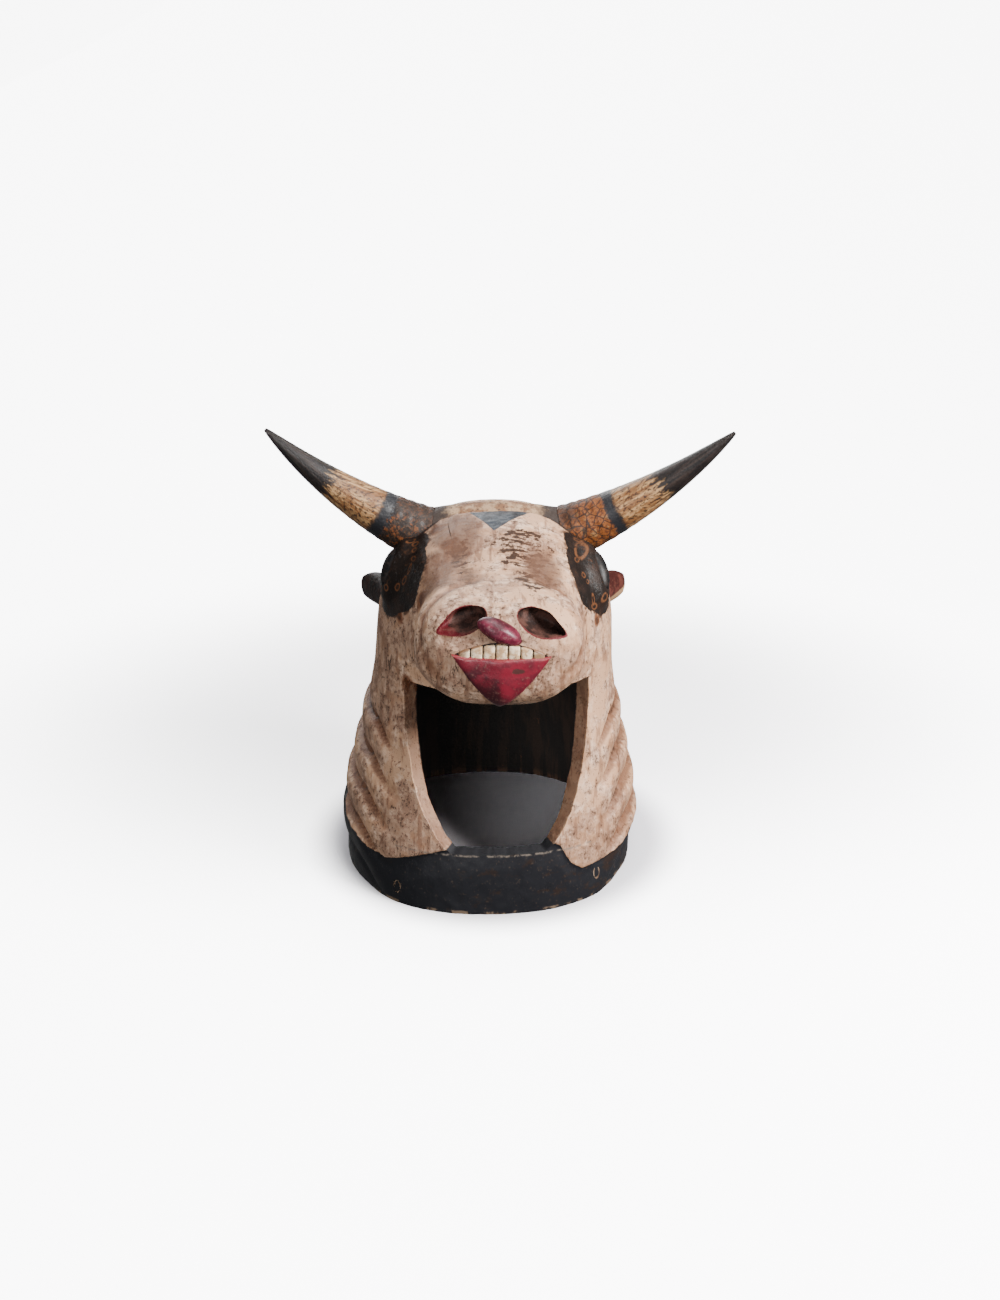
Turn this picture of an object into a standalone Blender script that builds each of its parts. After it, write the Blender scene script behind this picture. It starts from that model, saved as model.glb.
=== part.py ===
"""An ox-head helmet mask, carved from one log and worn over the whole head.

The carving is one piece of wood: a bell-shaped neck that stands on its own rim, a muzzle above the
opening that the wearer looks through, and rolls of skin round the neck.  A piece of skull with two
real horns is let in behind the forehead.  The eyes and the ears are pieces of their own.

Metres, +Z up.  The mask looks along -Y, and left and right are the sides that a viewer in front of it
sees.  It stands on Z = 0, with the origin under the middle of the whole mask.
"""

import functools
import math

import bmesh
import bpy
import numpy as np
from mathutils import Matrix, Vector

# Overall sizes of the carving
CROWN_HEIGHT = 0.397
FOOT_HALF_WIDTH = 0.170
FOOT_HALF_DEPTH = 0.183
HEAD_HALF_WIDTH = 0.132
HEAD_HALF_DEPTH = 0.148
HEAD_LEAN = 0.009
WALL = 0.020
CROWN_WALL = 0.048
CAVITY_TOP = 0.93
GAP = 0.0003

# Where the neck narrows on each side: the start and the length, as shares of the crown's height
SIDE_TAPER = (0.07, 0.57)
FRONT_TAPER = (-0.05, 0.81)
REAR_TAPER = (0.05, 0.71)
DOME_FOOT = 0.585

# How boxy the rounded forms are: 2 is an ellipse, and more is squarer
NECK_SQUARENESS = 2.25
DOME_SQUARENESS = 2.6
MUZZLE_SQUARENESS = 3.2

# The muzzle, with its front face turned a little about the line of sight
MUZZLE_HALF_WIDTH = 0.092
MUZZLE_WAIST = 0.078
MUZZLE_REACH = 0.248
MUZZLE_LENGTH = 0.216
MUZZLE_TOP = 0.365
MUZZLE_CHIN = 0.249
MUZZLE_BLEND = 0.032
JAW_PINCH = 0.28
FACE_ROLL = math.radians(1.8)

# The opening under the muzzle, as a height and the angle it spans on each side of the front
OPENING_SILL = 0.067
OPENING_HEAD = 0.243
OPENING_FOOT_ANGLE = math.radians(16)
OPENING_SIDE_ANGLE = math.radians(38)
OPENING_HEAD_ANGLE = math.radians(41)
OPENING_FLARE = 0.9
OPENING_ROUNDING = 0.75
OPENING_REACH = (0.25, 1.5)

# The rolls of skin, counted down from the topmost crease
FOLD_COUNT = 4
FOLD_TOP = 0.182
FOLD_PITCH = 0.039
FOLD_DEPTH = 0.0065
FOLD_SINK = 0.0040
FOLD_DROP = 0.030
FOLD_ROUNDING = 0.55
FOLD_LEVEL_FROM = math.radians(33)
FOLD_SHOWN_FROM = math.radians(34)
FOLD_PLAIN_FROM = math.radians(105)
FOLD_PLAIN_SHARE = 0.45

# Nostrils, mouth and tongue, placed on the muzzle's front face
NOSTRIL_OFFSET = 0.037
NOSTRIL_HEIGHT = 0.346
NOSTRIL_SIZE = Vector((0.025, 0.024, 0.0115))
NOSTRIL_TILT = math.radians(24)
NOSTRIL_INSET = 0.004
LIP_HALF_WIDTH = 0.047
LIP_TOP = 0.318
LIP_TIP = 0.263
LIP_PROUD = 0.0045
LIP_RIDGE = 0.003
LIP_RIDGE_WIDTH = 0.012
LIP_DIP = 0.0015
LIP_CURVE = 1.25
TOOTH_COUNT = 7
TOOTH_ROW = 0.082
TOOTH_HEIGHT = 0.0125
TOOTH_ROOT = 0.003
TOOTH_PROUD = 0.0022
TOOTH_SLIT = 0.0014
TONGUE_SIZE = Vector((0.023, 0.013, 0.0105))
TONGUE_HEIGHT = 0.340
TONGUE_OFFSET = -0.002
TONGUE_INSET = 0.002
TONGUE_TILT = math.radians(24)
RELIEF_PROFILE = ((1.0, -1.4), (1.0, 0.45), (0.88, 0.9), (0.5, 1.0))

# Eyes, as ellipsoids in a raised lid; the left one sits a little further back
EYE_BEARING = math.radians(84)
EYE_LAG = math.radians(7)
EYE_RISE = math.radians(14)
EYE_SLANT = math.radians(-62)
EYE_LENGTH = 0.052
EYE_HEIGHT = 0.024
EYE_PROUD = 0.0035
LID_MARGIN = 0.009
LID_BULGE = 0.010
LID_BLEND = 0.008

# Horns, and the bone that joins them
HORN_ROOT_OFFSET = 0.080
HORN_ROOT_HEIGHT = 0.367
HORN_ROOT_RADIUS = 0.0315
HORN_TIP_OFFSET = 0.245
HORN_TIP_HEIGHT = 0.485
HORN_TIP_RADIUS = 0.0020
HORN_TIP_FORWARD = 0.030
HORN_TIP_LEAN = 0.006
HORN_SAG = 0.009
HORN_DEPTH = 0.004
HORN_TAPER = 0.82
BONE_HALF_LENGTH = 0.086
BONE_HALF_DEPTH = 0.029
BONE_HALF_HEIGHT = 0.021
BONE_WAIST = 0.12
BONE_PEAK = 0.404
BONE_SHOULDER = 0.393
BONE_CURVE = 1.2

# Ears, broadest halfway along and rounded at the end
EAR_BEARING = math.radians(114)
EAR_RISE = math.radians(-8)
EAR_LENGTH = 0.058
EAR_WIDTH = 0.040
EAR_NECK = 0.6
EAR_ROUND_FROM = 0.45
EAR_THICKNESS = 0.006
EAR_ROOT_DEPTH = 0.014
EAR_PLAY = 0.0018
EAR_SWEEP = math.radians(66)
EAR_DROOP = 0.08
EAR_CUP = 0.009

# How finely the carving is faceted
COLUMNS = 56
NECK_ROWS = 19
HEAD_ROWS = 24
CAVITY_COLUMNS = 32
CAVITY_ROWS = 10
FRONT_CROWDING = 0.42
CAVITY_CROWDING = 0.15
ROW_CROWDING = 0.045

# Where rays that find the head's surface start, how finely they look, and how far they go
HEAD_CORE = np.array([0.0, -0.30 * HEAD_HALF_DEPTH, 0.79 * CROWN_HEIGHT])
FACE_CORE = -0.6 * MUZZLE_REACH
SHOULDER_HEIGHT = 0.54 * CROWN_HEIGHT
RAY_LENGTH = 0.45
RAY_STEPS = 91
RAY_HALVINGS = 16
SLOPE_STEP = 0.0005


def ease(share):
    """0 below 0 and 1 above 1, with a smooth rise between them."""
    share = np.clip(share, 0.0, 1.0)
    return share * share * (3.0 - 2.0 * share)


def melt(first, second, reach):
    """The union of two distance fields, filleted over the given reach."""
    mix = np.clip(0.5 + 0.5 * (second - first) / reach, 0.0, 1.0)
    return second * (1.0 - mix) + first * mix - reach * mix * (1.0 - mix)


def bell(points, inset=0.0, crown_inset=0.0):
    """A field that is negative inside the neck and skull, drawn in by an inset on every side."""
    x, y, z = np.moveaxis(points, -1, 0)
    height = CROWN_HEIGHT - crown_inset
    spread = FOOT_HALF_WIDTH - HEAD_HALF_WIDTH
    deepen = FOOT_HALF_DEPTH - HEAD_HALF_DEPTH
    share = z / CROWN_HEIGHT
    side, front, rear = (
        size + extra * (1.0 - ease((share - start) / length)) - inset
        for size, extra, (start, length) in (
            (HEAD_HALF_WIDTH, spread, SIDE_TAPER),
            (HEAD_HALF_DEPTH, deepen, FRONT_TAPER),
            (HEAD_HALF_DEPTH, deepen, REAR_TAPER),
        )
    )
    middle = -HEAD_LEAN * (1.0 - np.clip(share / 0.8, 0.0, 1.0))
    around = (np.abs(x - middle) / side) ** NECK_SQUARENESS
    around = around + (np.abs(y) / np.where(y < 0.0, front, rear)) ** NECK_SQUARENESS
    dome = np.clip((z - DOME_FOOT * height) / (height - DOME_FOOT * height), 0.0, None)
    whole = around ** (DOME_SQUARENESS / NECK_SQUARENESS) + dome**DOME_SQUARENESS
    return (whole ** (1.0 / DOME_SQUARENESS) - 1.0) * HEAD_HALF_WIDTH


def muzzle(points):
    """A field that is negative inside the muzzle, a rounded block that is widest at the nose."""
    x, y, z = np.moveaxis(points, -1, 0)
    middle_z = (MUZZLE_TOP + MUZZLE_CHIN) / 2.0
    x, z = (
        x * math.cos(FACE_ROLL) - (z - middle_z) * math.sin(FACE_ROLL),
        x * math.sin(FACE_ROLL) + (z - middle_z) * math.cos(FACE_ROLL),
    )
    half_length = MUZZLE_LENGTH / 2.0
    half_height = (MUZZLE_TOP - MUZZLE_CHIN) / 2.0
    along = y + MUZZLE_REACH - half_length
    nose = ease(0.1 - along / half_length)
    half_width = MUZZLE_WAIST + (MUZZLE_HALF_WIDTH - MUZZLE_WAIST) * nose
    jaw = ease(-0.1 - z / half_height) * ease(0.2 - along / half_length)
    half_width = half_width * (1.0 - JAW_PINCH * jaw)
    shares = np.abs(np.stack([x / half_width, along / half_length, z / half_height]))
    block = (shares**MUZZLE_SQUARENESS).sum(axis=0)
    return (block ** (1.0 / MUZZLE_SQUARENESS) - 1.0) * half_height


def fold_swell(points):
    """How far the rolls of skin stand out: each swells just under its crease and thins downwards."""
    x, y, z = np.moveaxis(points, -1, 0)
    bearing = np.abs(np.arctan2(x, -y))
    drop = FOLD_DROP * (1.0 - ease((bearing - FOLD_LEVEL_FROM) / math.radians(30)))
    below = (FOLD_TOP - drop - z) / FOLD_PITCH
    phase = np.clip(below - np.floor(below), 0.0, 1.0)
    roll = np.sin(math.pi * phase**FOLD_ROUNDING)
    counted = (below > 0.0) & (below < FOLD_COUNT)
    side = ease((bearing - FOLD_SHOWN_FROM) / math.radians(22))
    back = 1.0 - FOLD_PLAIN_SHARE * ease((bearing - FOLD_PLAIN_FROM) / math.radians(35))
    swell = np.where(counted, FOLD_DEPTH * roll, 0.0)
    return (swell - FOLD_SINK * ease(below / FOLD_COUNT * 4.0 + 0.5)) * side * back


def head(points):
    """A field that is negative inside the neck, skull and muzzle together."""
    return melt(bell(points), muzzle(points), MUZZLE_BLEND)


def lids(points):
    """A field that is negative inside the bulges of the two eyelids."""
    nearest = np.full(points.shape[:-1], 1.0)
    for side in (-1, 1):
        place, axes = eye_frame(side)
        half_sizes = (EYE_LENGTH / 2 + LID_MARGIN, EYE_HEIGHT / 2 + LID_MARGIN, LID_BULGE)
        local = (points - place) @ np.array(axes).T / np.array(half_sizes)
        nearest = np.minimum(nearest, (np.linalg.norm(local, axis=-1) - 1.0) * LID_BULGE)
    return nearest


def carving(points):
    """A field that is negative inside the whole carving, before its hollow and details are cut."""
    return melt(head(points), lids(points), LID_BLEND) - fold_swell(points)


def reach(starts, ways, field=head):
    """Where rays from inside a form leave it."""
    starts = np.broadcast_to(starts, ways.shape)
    steps = np.linspace(0.0, RAY_LENGTH, RAY_STEPS)
    inside = np.stack([field(starts + ways * step) < 0.0 for step in steps])
    first_out = np.argmin(inside, axis=0)
    near = steps[np.maximum(first_out - 1, 0)]
    far = steps[first_out]
    for _ in range(RAY_HALVINGS):
        middle = (near + far) / 2.0
        within = field(starts + ways * middle[..., None]) < 0.0
        near = np.where(within, middle, near)
        far = np.where(within, far, middle)
    return starts + ways * ((near + far) / 2.0)[..., None]


def outward(point, field=head):
    """The direction in which a form's surface faces at a point of it."""
    nudge = SLOPE_STEP * np.eye(3)
    slope = field(point + nudge) - field(point - nudge)
    return Vector(slope).normalized()


def bearings(count, crowding):
    """Angles round the mask from its back, closer together at the front."""
    even = np.linspace(-math.pi, math.pi, count, endpoint=False)
    return even - crowding * np.sin(even)


def carved_rows(columns, neck_rows, head_rows):
    """Rings of points on the carving, from the foot up to a small ring at the crown."""
    around = bearings(columns, FRONT_CROWDING)
    level = np.stack([np.sin(around), -np.cos(around), np.zeros(columns)], axis=-1)
    rows = []
    for height in np.linspace(0.0, SHOULDER_HEIGHT, neck_rows):
        axis_point = np.array([0.0, 0.0, height])
        rows.append(reach(axis_point, level, carving))
    away = rows[-1] - HEAD_CORE
    away /= np.linalg.norm(away, axis=-1, keepdims=True)
    up = np.array([0.0, 0.0, 1.0])
    turn = np.arccos(np.clip(away @ up, -1.0, 1.0))[:, None]
    for share in np.linspace(0.0, 1.0, head_rows + 2)[1:-1]:
        share = share - ROW_CROWDING * math.sin(2.0 * math.pi * share)
        ways = (np.sin((1.0 - share) * turn) * away + np.sin(share * turn) * up) / np.sin(turn)
        rows.append(reach(HEAD_CORE, ways, carving))
    return rows


def solid_from_rings(name, rings, peak):
    """A closed mesh of stacked rings, flat across the first and drawn together at a peak."""
    mesh_edit = bmesh.new()
    loops = [[mesh_edit.verts.new(point) for point in ring] for ring in rings]
    count = len(loops[0])
    for lower, upper in zip(loops, loops[1:]):
        for i in range(count):
            following = (i + 1) % count
            mesh_edit.faces.new((lower[i], lower[following], upper[following], upper[i]))
    mesh_edit.faces.new(reversed(loops[0]))
    top = mesh_edit.verts.new(peak)
    for i in range(count):
        mesh_edit.faces.new((loops[-1][i], loops[-1][(i + 1) % count], top))
    bmesh.ops.recalc_face_normals(mesh_edit, faces=mesh_edit.faces)
    return mesh_object(name, mesh_edit)


def mesh_object(name, mesh_edit):
    mesh = bpy.data.meshes.new(name)
    mesh_edit.to_mesh(mesh)
    mesh_edit.free()
    return bpy.data.objects.new(name, mesh)


def ellipsoid(name, place, axes, half_sizes, segments=16, rings=8):
    """An ellipsoid whose half sizes lie along three given directions."""
    mesh_edit = bmesh.new()
    bmesh.ops.create_uvsphere(mesh_edit, u_segments=segments, v_segments=rings, radius=1.0)
    frame = Matrix([axis * size for axis, size in zip(axes, half_sizes)]).transposed().to_4x4()
    bmesh.ops.transform(mesh_edit, matrix=Matrix.Translation(place) @ frame, verts=mesh_edit.verts)
    bmesh.ops.recalc_face_normals(mesh_edit, faces=mesh_edit.faces)
    return mesh_object(name, mesh_edit)


def combine(target, other, operation):
    """Applies a Boolean at once, so that what follows works on its result."""
    modifier = target.modifiers.new(other.name, "BOOLEAN")
    modifier.object = other
    modifier.operation = operation
    modifier.solver = "EXACT"


def front_face(x, z):
    """The points of the muzzle's front face in front of given widths and heights."""
    starts = np.stack([x, np.full_like(x, FACE_CORE), z], axis=-1)
    return reach(starts, np.broadcast_to([0.0, -1.0, 0.0], starts.shape))


def rolled(x, z):
    """Turns widths and heights on the face by its roll, about the middle of the muzzle."""
    middle = (MUZZLE_TOP + MUZZLE_CHIN) / 2.0
    return (
        x * math.cos(FACE_ROLL) + (z - middle) * math.sin(FACE_ROLL),
        middle - x * math.sin(FACE_ROLL) + (z - middle) * math.cos(FACE_ROLL),
    )


def relief(name, outline, proud, ridge=0.0):
    """A solid that lies on the muzzle's front face, rounded towards the edge of its outline."""
    outline = np.array(outline)
    centre = outline.mean(axis=0)
    rings = []
    for share, lift in RELIEF_PROFILE:
        flat = centre + (outline - centre) * share
        points = front_face(*rolled(flat[:, 0], flat[:, 1]))
        crest = ridge * np.exp(-((flat[:, 0] / LIP_RIDGE_WIDTH) ** 2)) * (lift > 0.5)
        points[:, 1] -= proud * lift + crest
        rings.append(points)
    peak = front_face(*rolled(centre[:1], centre[1:]))[0]
    peak[1] -= proud + ridge
    return solid_from_rings(name, rings, peak)


def lip_outline():
    """The lower lip: nearly straight along the teeth and drawn down to a point at the chin."""
    across = np.linspace(-1.0, 1.0, 9)
    top = [(LIP_HALF_WIDTH * u, LIP_TOP - LIP_DIP * (1.0 - abs(u))) for u in across]
    down = np.linspace(1.0, -1.0, 15)[1:-1]
    depth = LIP_TOP - LIP_TIP
    bottom = [(LIP_HALF_WIDTH * u, LIP_TIP + depth * abs(u) ** LIP_CURVE) for u in down]
    return top + bottom


def tooth_outline(index):
    """One tooth of the row, which is lower towards the corners of the mouth."""
    width = TOOTH_ROW / TOOTH_COUNT
    middle = (index - (TOOTH_COUNT - 1) / 2.0) * width
    half = (width - TOOTH_SLIT) / 2.0
    low = LIP_TOP - TOOTH_ROOT
    high = []
    for x in (middle + half, middle - half):
        high.append(LIP_TOP + TOOTH_HEIGHT * (1.0 - (2.0 * x / (TOOTH_ROW + width)) ** 2))
    return [
        (middle - half, low),
        (middle, low),
        (middle + half, low),
        (middle + half, (low + high[0]) / 2.0),
        (middle + half, high[0]),
        (middle, (high[0] + high[1]) / 2.0),
        (middle - half, high[1]),
        (middle - half, (low + high[1]) / 2.0),
    ]


def face_axes(tilt):
    """Directions along a feature on the face, into the face, and across the feature."""
    along = Vector((math.cos(tilt), 0.0, math.sin(tilt)))
    into = Vector((0.0, 1.0, 0.0))
    return along, into, along.cross(into)


def nostril(side):
    x, z = rolled(np.array([side * NOSTRIL_OFFSET]), np.array([NOSTRIL_HEIGHT]))
    place = Vector(front_face(x, z)[0]) + Vector((0.0, NOSTRIL_INSET, 0.0))
    axes = face_axes(-side * NOSTRIL_TILT)
    return ellipsoid(f"nostril_{side_name(side)}", place, axes, NOSTRIL_SIZE)


def tongue():
    """The tongue, which licks up into the nostril on the left."""
    x, z = rolled(np.array([TONGUE_OFFSET]), np.array([TONGUE_HEIGHT]))
    place = Vector(front_face(x, z)[0]) + Vector((0.0, TONGUE_INSET, 0.0))
    return ellipsoid("tongue", place, face_axes(-TONGUE_TILT), TONGUE_SIZE, 14, 8)


def side_name(side):
    return "left" if side < 0 else "right"


def on_head(bearing, rise, side):
    """A point of the head's surface, seen from its core at a bearing from the front and a rise."""
    way = np.array(
        [
            side * math.sin(bearing) * math.cos(rise),
            -math.cos(bearing) * math.cos(rise),
            math.sin(rise),
        ]
    )
    return reach(HEAD_CORE, way[None, :])[0]


@functools.lru_cache(maxsize=None)
def eye_frame(side):
    """An eye's place on the head, and its directions: forwards along the lid, across it, outwards."""
    place = on_head(EYE_BEARING + (EYE_LAG if side < 0 else 0.0), EYE_RISE, side)
    facing = outward(place)
    forward = Vector((0.0, -math.cos(EYE_SLANT), math.sin(EYE_SLANT)))
    along = (forward - facing * forward.dot(facing)).normalized()
    return place, (along, facing.cross(along), facing)


def eye_form(name, side, margin, segments=14, rings=8):
    """An eye's ellipsoid, larger on every side by a margin."""
    place, axes = eye_frame(side)
    sizes = (EYE_LENGTH / 2 + margin, EYE_HEIGHT / 2 + margin, LID_BULGE + EYE_PROUD + margin)
    return ellipsoid(name, Vector(place), axes, sizes, segments, rings)


def horn_line(side):
    """Points along a horn's middle and its radius at each, from root to tip."""
    root = Vector((side * HORN_ROOT_OFFSET, HORN_DEPTH, HORN_ROOT_HEIGHT))
    tip = Vector((side * HORN_TIP_OFFSET, HORN_DEPTH - HORN_TIP_FORWARD, HORN_TIP_HEIGHT))
    tip += Vector((HORN_TIP_LEAN, 0.0, -0.5 * side * HORN_TIP_LEAN))
    below = Vector((0.0, side, 0.0)).cross(tip - root).normalized()
    points = []
    for share in np.linspace(0.0, 1.0, 6):
        sag = HORN_SAG * 4.0 * share * (1.0 - share)
        point = root.lerp(tip, share) + below * sag
        radius = HORN_TIP_RADIUS + (HORN_ROOT_RADIUS - HORN_TIP_RADIUS) * (1.0 - share) ** HORN_TAPER
        points.append((point, radius))
    return points


def horn(name, side, grow=0.0):
    """A horn as a tapering tube, thicker by a margin where it is used to cut its seat."""
    curve = bpy.data.curves.new(name, "CURVE")
    curve.dimensions = "3D"
    curve.use_fill_caps = True
    curve.bevel_depth = 1.0
    curve.bevel_resolution = 4
    curve.resolution_u = 3
    line = horn_line(side)
    if grow:
        heading = (line[0][0] - line[1][0]).normalized()
        line[0] = (line[0][0] + heading * grow, line[0][1])
    spline = curve.splines.new("BEZIER")
    spline.bezier_points.add(len(line) - 1)
    for knot, (point, radius) in zip(spline.bezier_points, line):
        knot.co = point
        knot.radius = radius + grow
        knot.handle_left_type = "AUTO"
        knot.handle_right_type = "AUTO"
    return curve_to_mesh(name, curve)


def curve_to_mesh(name, curve):
    """A curve's solid as a welded mesh, which can then be cut or used as a cutter."""
    source = bpy.data.objects.new(name, curve)
    bpy.context.scene.collection.objects.link(source)
    graph = bpy.context.evaluated_depsgraph_get()
    mesh = bpy.data.meshes.new_from_object(source.evaluated_get(graph))
    bpy.data.objects.remove(source)
    mesh_edit = bmesh.new()
    mesh_edit.from_mesh(mesh)
    bmesh.ops.remove_doubles(mesh_edit, verts=mesh_edit.verts, dist=0.00001)
    bmesh.ops.recalc_face_normals(mesh_edit, faces=mesh_edit.faces)
    bpy.data.meshes.remove(mesh)
    return mesh_object(name, mesh_edit)


def bone(name, grow=0.0):
    """The piece of skull between the horns: a rounded bar that rises to a peak in the middle."""
    stations = 9
    rings = []
    for share in np.linspace(-1.0, 1.0, stations):
        x = share * (BONE_HALF_LENGTH + grow)
        half_height = BONE_HALF_HEIGHT + grow
        top = BONE_PEAK - (BONE_PEAK - BONE_SHOULDER) * abs(share) ** BONE_CURVE
        half_depth = BONE_HALF_DEPTH * (1.0 - BONE_WAIST * (1.0 - share**2)) + grow
        ring = []
        for turn in np.linspace(0.0, 2.0 * math.pi, 14, endpoint=False):
            y = HORN_DEPTH + half_depth * math.cos(turn)
            z = top + grow - half_height + half_height * math.sin(turn)
            ring.append((x, y, z))
        rings.append(ring)
    end = np.mean(rings[-1], axis=0)
    return solid_from_rings(name, rings, end)


def ear(name, side, grow=0.0):
    """A leaf of stiff hide, cupped forwards, whose root goes into the head."""
    root = Vector(on_head(EAR_BEARING, EAR_RISE, side))
    heading = Vector((side * math.cos(EAR_SWEEP), math.sin(EAR_SWEEP), -EAR_DROOP)).normalized()
    up = Vector((0.0, 0.0, 1.0))
    cup = heading.cross(up).normalized() * side
    mesh_edit = bmesh.new()
    grid = []
    for share in np.linspace(0.0, 1.0, 8):
        along = -EAR_ROOT_DEPTH - grow + share * (EAR_LENGTH + EAR_ROOT_DEPTH + grow)
        half_width = EAR_WIDTH / 2.0 * (EAR_NECK + (1.0 - EAR_NECK) * ease(2.0 * share))
        rounding = max(share - EAR_ROUND_FROM, 0.0) / (1.02 - EAR_ROUND_FROM)
        half_width = half_width * math.sqrt(1.0 - rounding**2) + grow
        row = []
        for across in np.linspace(-1.0, 1.0, 5):
            hollow = EAR_CUP * across**2 * math.sin(math.pi * min(share * 1.1, 1.0))
            place = root + heading * along + up * (half_width * across) - cup * hollow
            row.append(mesh_edit.verts.new(place))
        grid.append(row)
    for low, high in zip(grid, grid[1:]):
        for i in range(4):
            mesh_edit.faces.new((low[i], low[i + 1], high[i + 1], high[i]))
    piece = mesh_object(name, mesh_edit)
    thickness = piece.modifiers.new("thickness", "SOLIDIFY")
    thickness.thickness = EAR_THICKNESS + 2.0 * grow
    thickness.offset = 0.0
    return piece


def opening_cutter():
    """The opening's outline, drawn out from near the mask's middle so that its sides cut square."""
    share = np.linspace(0.0, 1.0, 11) ** 1.6
    levels = OPENING_SILL + (OPENING_HEAD - OPENING_SILL) * share
    flare = np.sin(math.pi / 2.0 * np.minimum(share / OPENING_FLARE, 1.0)) ** OPENING_ROUNDING
    spread = OPENING_FOOT_ANGLE + (OPENING_SIDE_ANGLE - OPENING_FOOT_ANGLE) * flare
    spread = spread + (OPENING_HEAD_ANGLE - OPENING_SIDE_ANGLE) * ease((share - 0.5) / 0.5)
    outline = [(angle, level) for angle, level in zip(spread, levels)]
    outline += [(0.0, OPENING_HEAD)]
    outline += [(-angle, level) for angle, level in zip(spread[::-1], levels[::-1])]
    outline += [(0.0, OPENING_SILL)]
    rings = []
    for radius in np.array(OPENING_REACH) * FOOT_HALF_DEPTH:
        rings.append([(radius * math.sin(a), -radius * math.cos(a), z) for a, z in outline])
    front = np.mean(rings[-1], axis=0)
    return solid_from_rings("opening", rings, front)


def cavity_cutter():
    """The hollow for the wearer's head, one wall inside the carving and open below."""
    around = bearings(CAVITY_COLUMNS, CAVITY_CROWDING)
    level = np.stack([np.sin(around), -np.cos(around), np.zeros(CAVITY_COLUMNS)], axis=-1)

    def hollow(points):
        return bell(points, WALL, CROWN_WALL)

    top = CAVITY_TOP * (CROWN_HEIGHT - CROWN_WALL)
    heights = np.linspace(0.0, top, CAVITY_ROWS)
    rings = [reach(np.array([0.0, 0.0, height]), level, hollow) for height in heights]
    below = rings[0].copy()
    below[:, 2] = -WALL
    up = np.array([[0.0, 0.0, 1.0]])
    peak = reach(np.array([0.0, 0.0, heights[-1]]), up, hollow)[0]
    return solid_from_rings("cavity", [below] + rings, peak)


def material(name, colour, roughness, metallic=0.0):
    finish = bpy.data.materials.new(name)
    finish.use_nodes = True
    shader = finish.node_tree.nodes["Principled BSDF"]
    shader.inputs["Base Color"].default_value = (*colour, 1.0)
    shader.inputs["Roughness"].default_value = roughness
    shader.inputs["Metallic"].default_value = metallic
    return finish


def clear_scene():
    for old in list(bpy.data.objects):
        bpy.data.objects.remove(old, do_unlink=True)


def new_collection(name):
    collection = bpy.data.collections.new(name)
    bpy.context.scene.collection.children.link(collection)
    return collection


def add_piece(collection, piece, finish):
    piece.data.materials.append(finish)
    collection.objects.link(piece)
    piece.data.shade_smooth()


def add_helper(collection, helper):
    helper.hide_render = True
    helper.display_type = "WIRE"
    collection.objects.link(helper)
    return helper


def centre_mask(outermost):
    """Moves every object so that the origin is under the middle of the outermost ones."""
    corners = np.concatenate([[vertex.co for vertex in piece.data.vertices] for piece in outermost])
    middle = (corners.min(axis=0) + corners.max(axis=0)) / 2.0
    for piece in bpy.data.objects:
        piece.location = (-middle[0], -middle[1], 0.0)


def build():
    clear_scene()
    mask = new_collection("ox_mask")
    cutters = new_collection("cutters")

    rows = carved_rows(COLUMNS, NECK_ROWS, HEAD_ROWS)
    crown = reach(HEAD_CORE, np.array([[0.0, 0.0, 1.0]]))[0]
    helmet = solid_from_rings("helmet", rows, crown)

    combine(helmet, add_helper(cutters, cavity_cutter()), "DIFFERENCE")
    combine(helmet, add_helper(cutters, opening_cutter()), "DIFFERENCE")
    for side in (-1, 1):
        combine(helmet, add_helper(cutters, nostril(side)), "DIFFERENCE")
    lip = add_helper(cutters, relief("lip", lip_outline(), LIP_PROUD, LIP_RIDGE))
    combine(helmet, lip, "UNION")
    for index in range(TOOTH_COUNT):
        tooth = relief(f"tooth_{index + 1}", tooth_outline(index), TOOTH_PROUD)
        combine(helmet, add_helper(cutters, tooth), "UNION")
    combine(helmet, add_helper(cutters, tongue()), "UNION")

    skull = bone("poll_bone")
    for side in (-1, 1):
        named = side_name(side)
        horn_seat = add_helper(cutters, horn(f"horn_seat_{named}", side, GAP))
        combine(helmet, horn_seat, "DIFFERENCE")
        combine(skull, horn_seat, "DIFFERENCE")
        combine(helmet, add_helper(cutters, ear(f"ear_seat_{named}", side, EAR_PLAY)), "DIFFERENCE")
        eye_seat = eye_form(f"eye_seat_{named}", side, GAP)
        combine(helmet, add_helper(cutters, eye_seat), "DIFFERENCE")
    combine(helmet, add_helper(cutters, bone("bone_seat", GAP)), "DIFFERENCE")

    wood = material("painted_wood", (0.62, 0.50, 0.40), 0.6)
    horny = material("horn", (0.16, 0.10, 0.06), 0.4)
    bony = material("bone", (0.55, 0.40, 0.25), 0.7)
    hide = material("hide", (0.22, 0.05, 0.03), 0.6)
    glass = material("eye_glass", (0.01, 0.01, 0.01), 0.1)
    add_piece(mask, helmet, wood)
    add_piece(mask, skull, bony)
    outermost = [helmet, lip]
    for side in (-1, 1):
        named = side_name(side)
        horn_piece = horn(f"horn_{named}", side)
        outermost.append(horn_piece)
        add_piece(mask, horn_piece, horny)
        add_piece(mask, ear(f"ear_{named}", side), hide)
        add_piece(mask, eye_form(f"eye_{named}", side, 0.0), glass)
    centre_mask(outermost)


build()
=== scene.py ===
"""The looks of an ox-head helmet mask: a carved and painted log with real horns, worn for many years.

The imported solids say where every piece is. The carving is made again here from the same forms, much
finer, with its tool marks, cracks and paint edges, and the small pieces get their own surfaces.
Metres, +Z up; the mask looks along -Y. Left and right are a viewer's.
"""

import functools
import math

import bmesh
import bpy
import numpy as np
from mathutils import Matrix, Vector, noise


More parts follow.
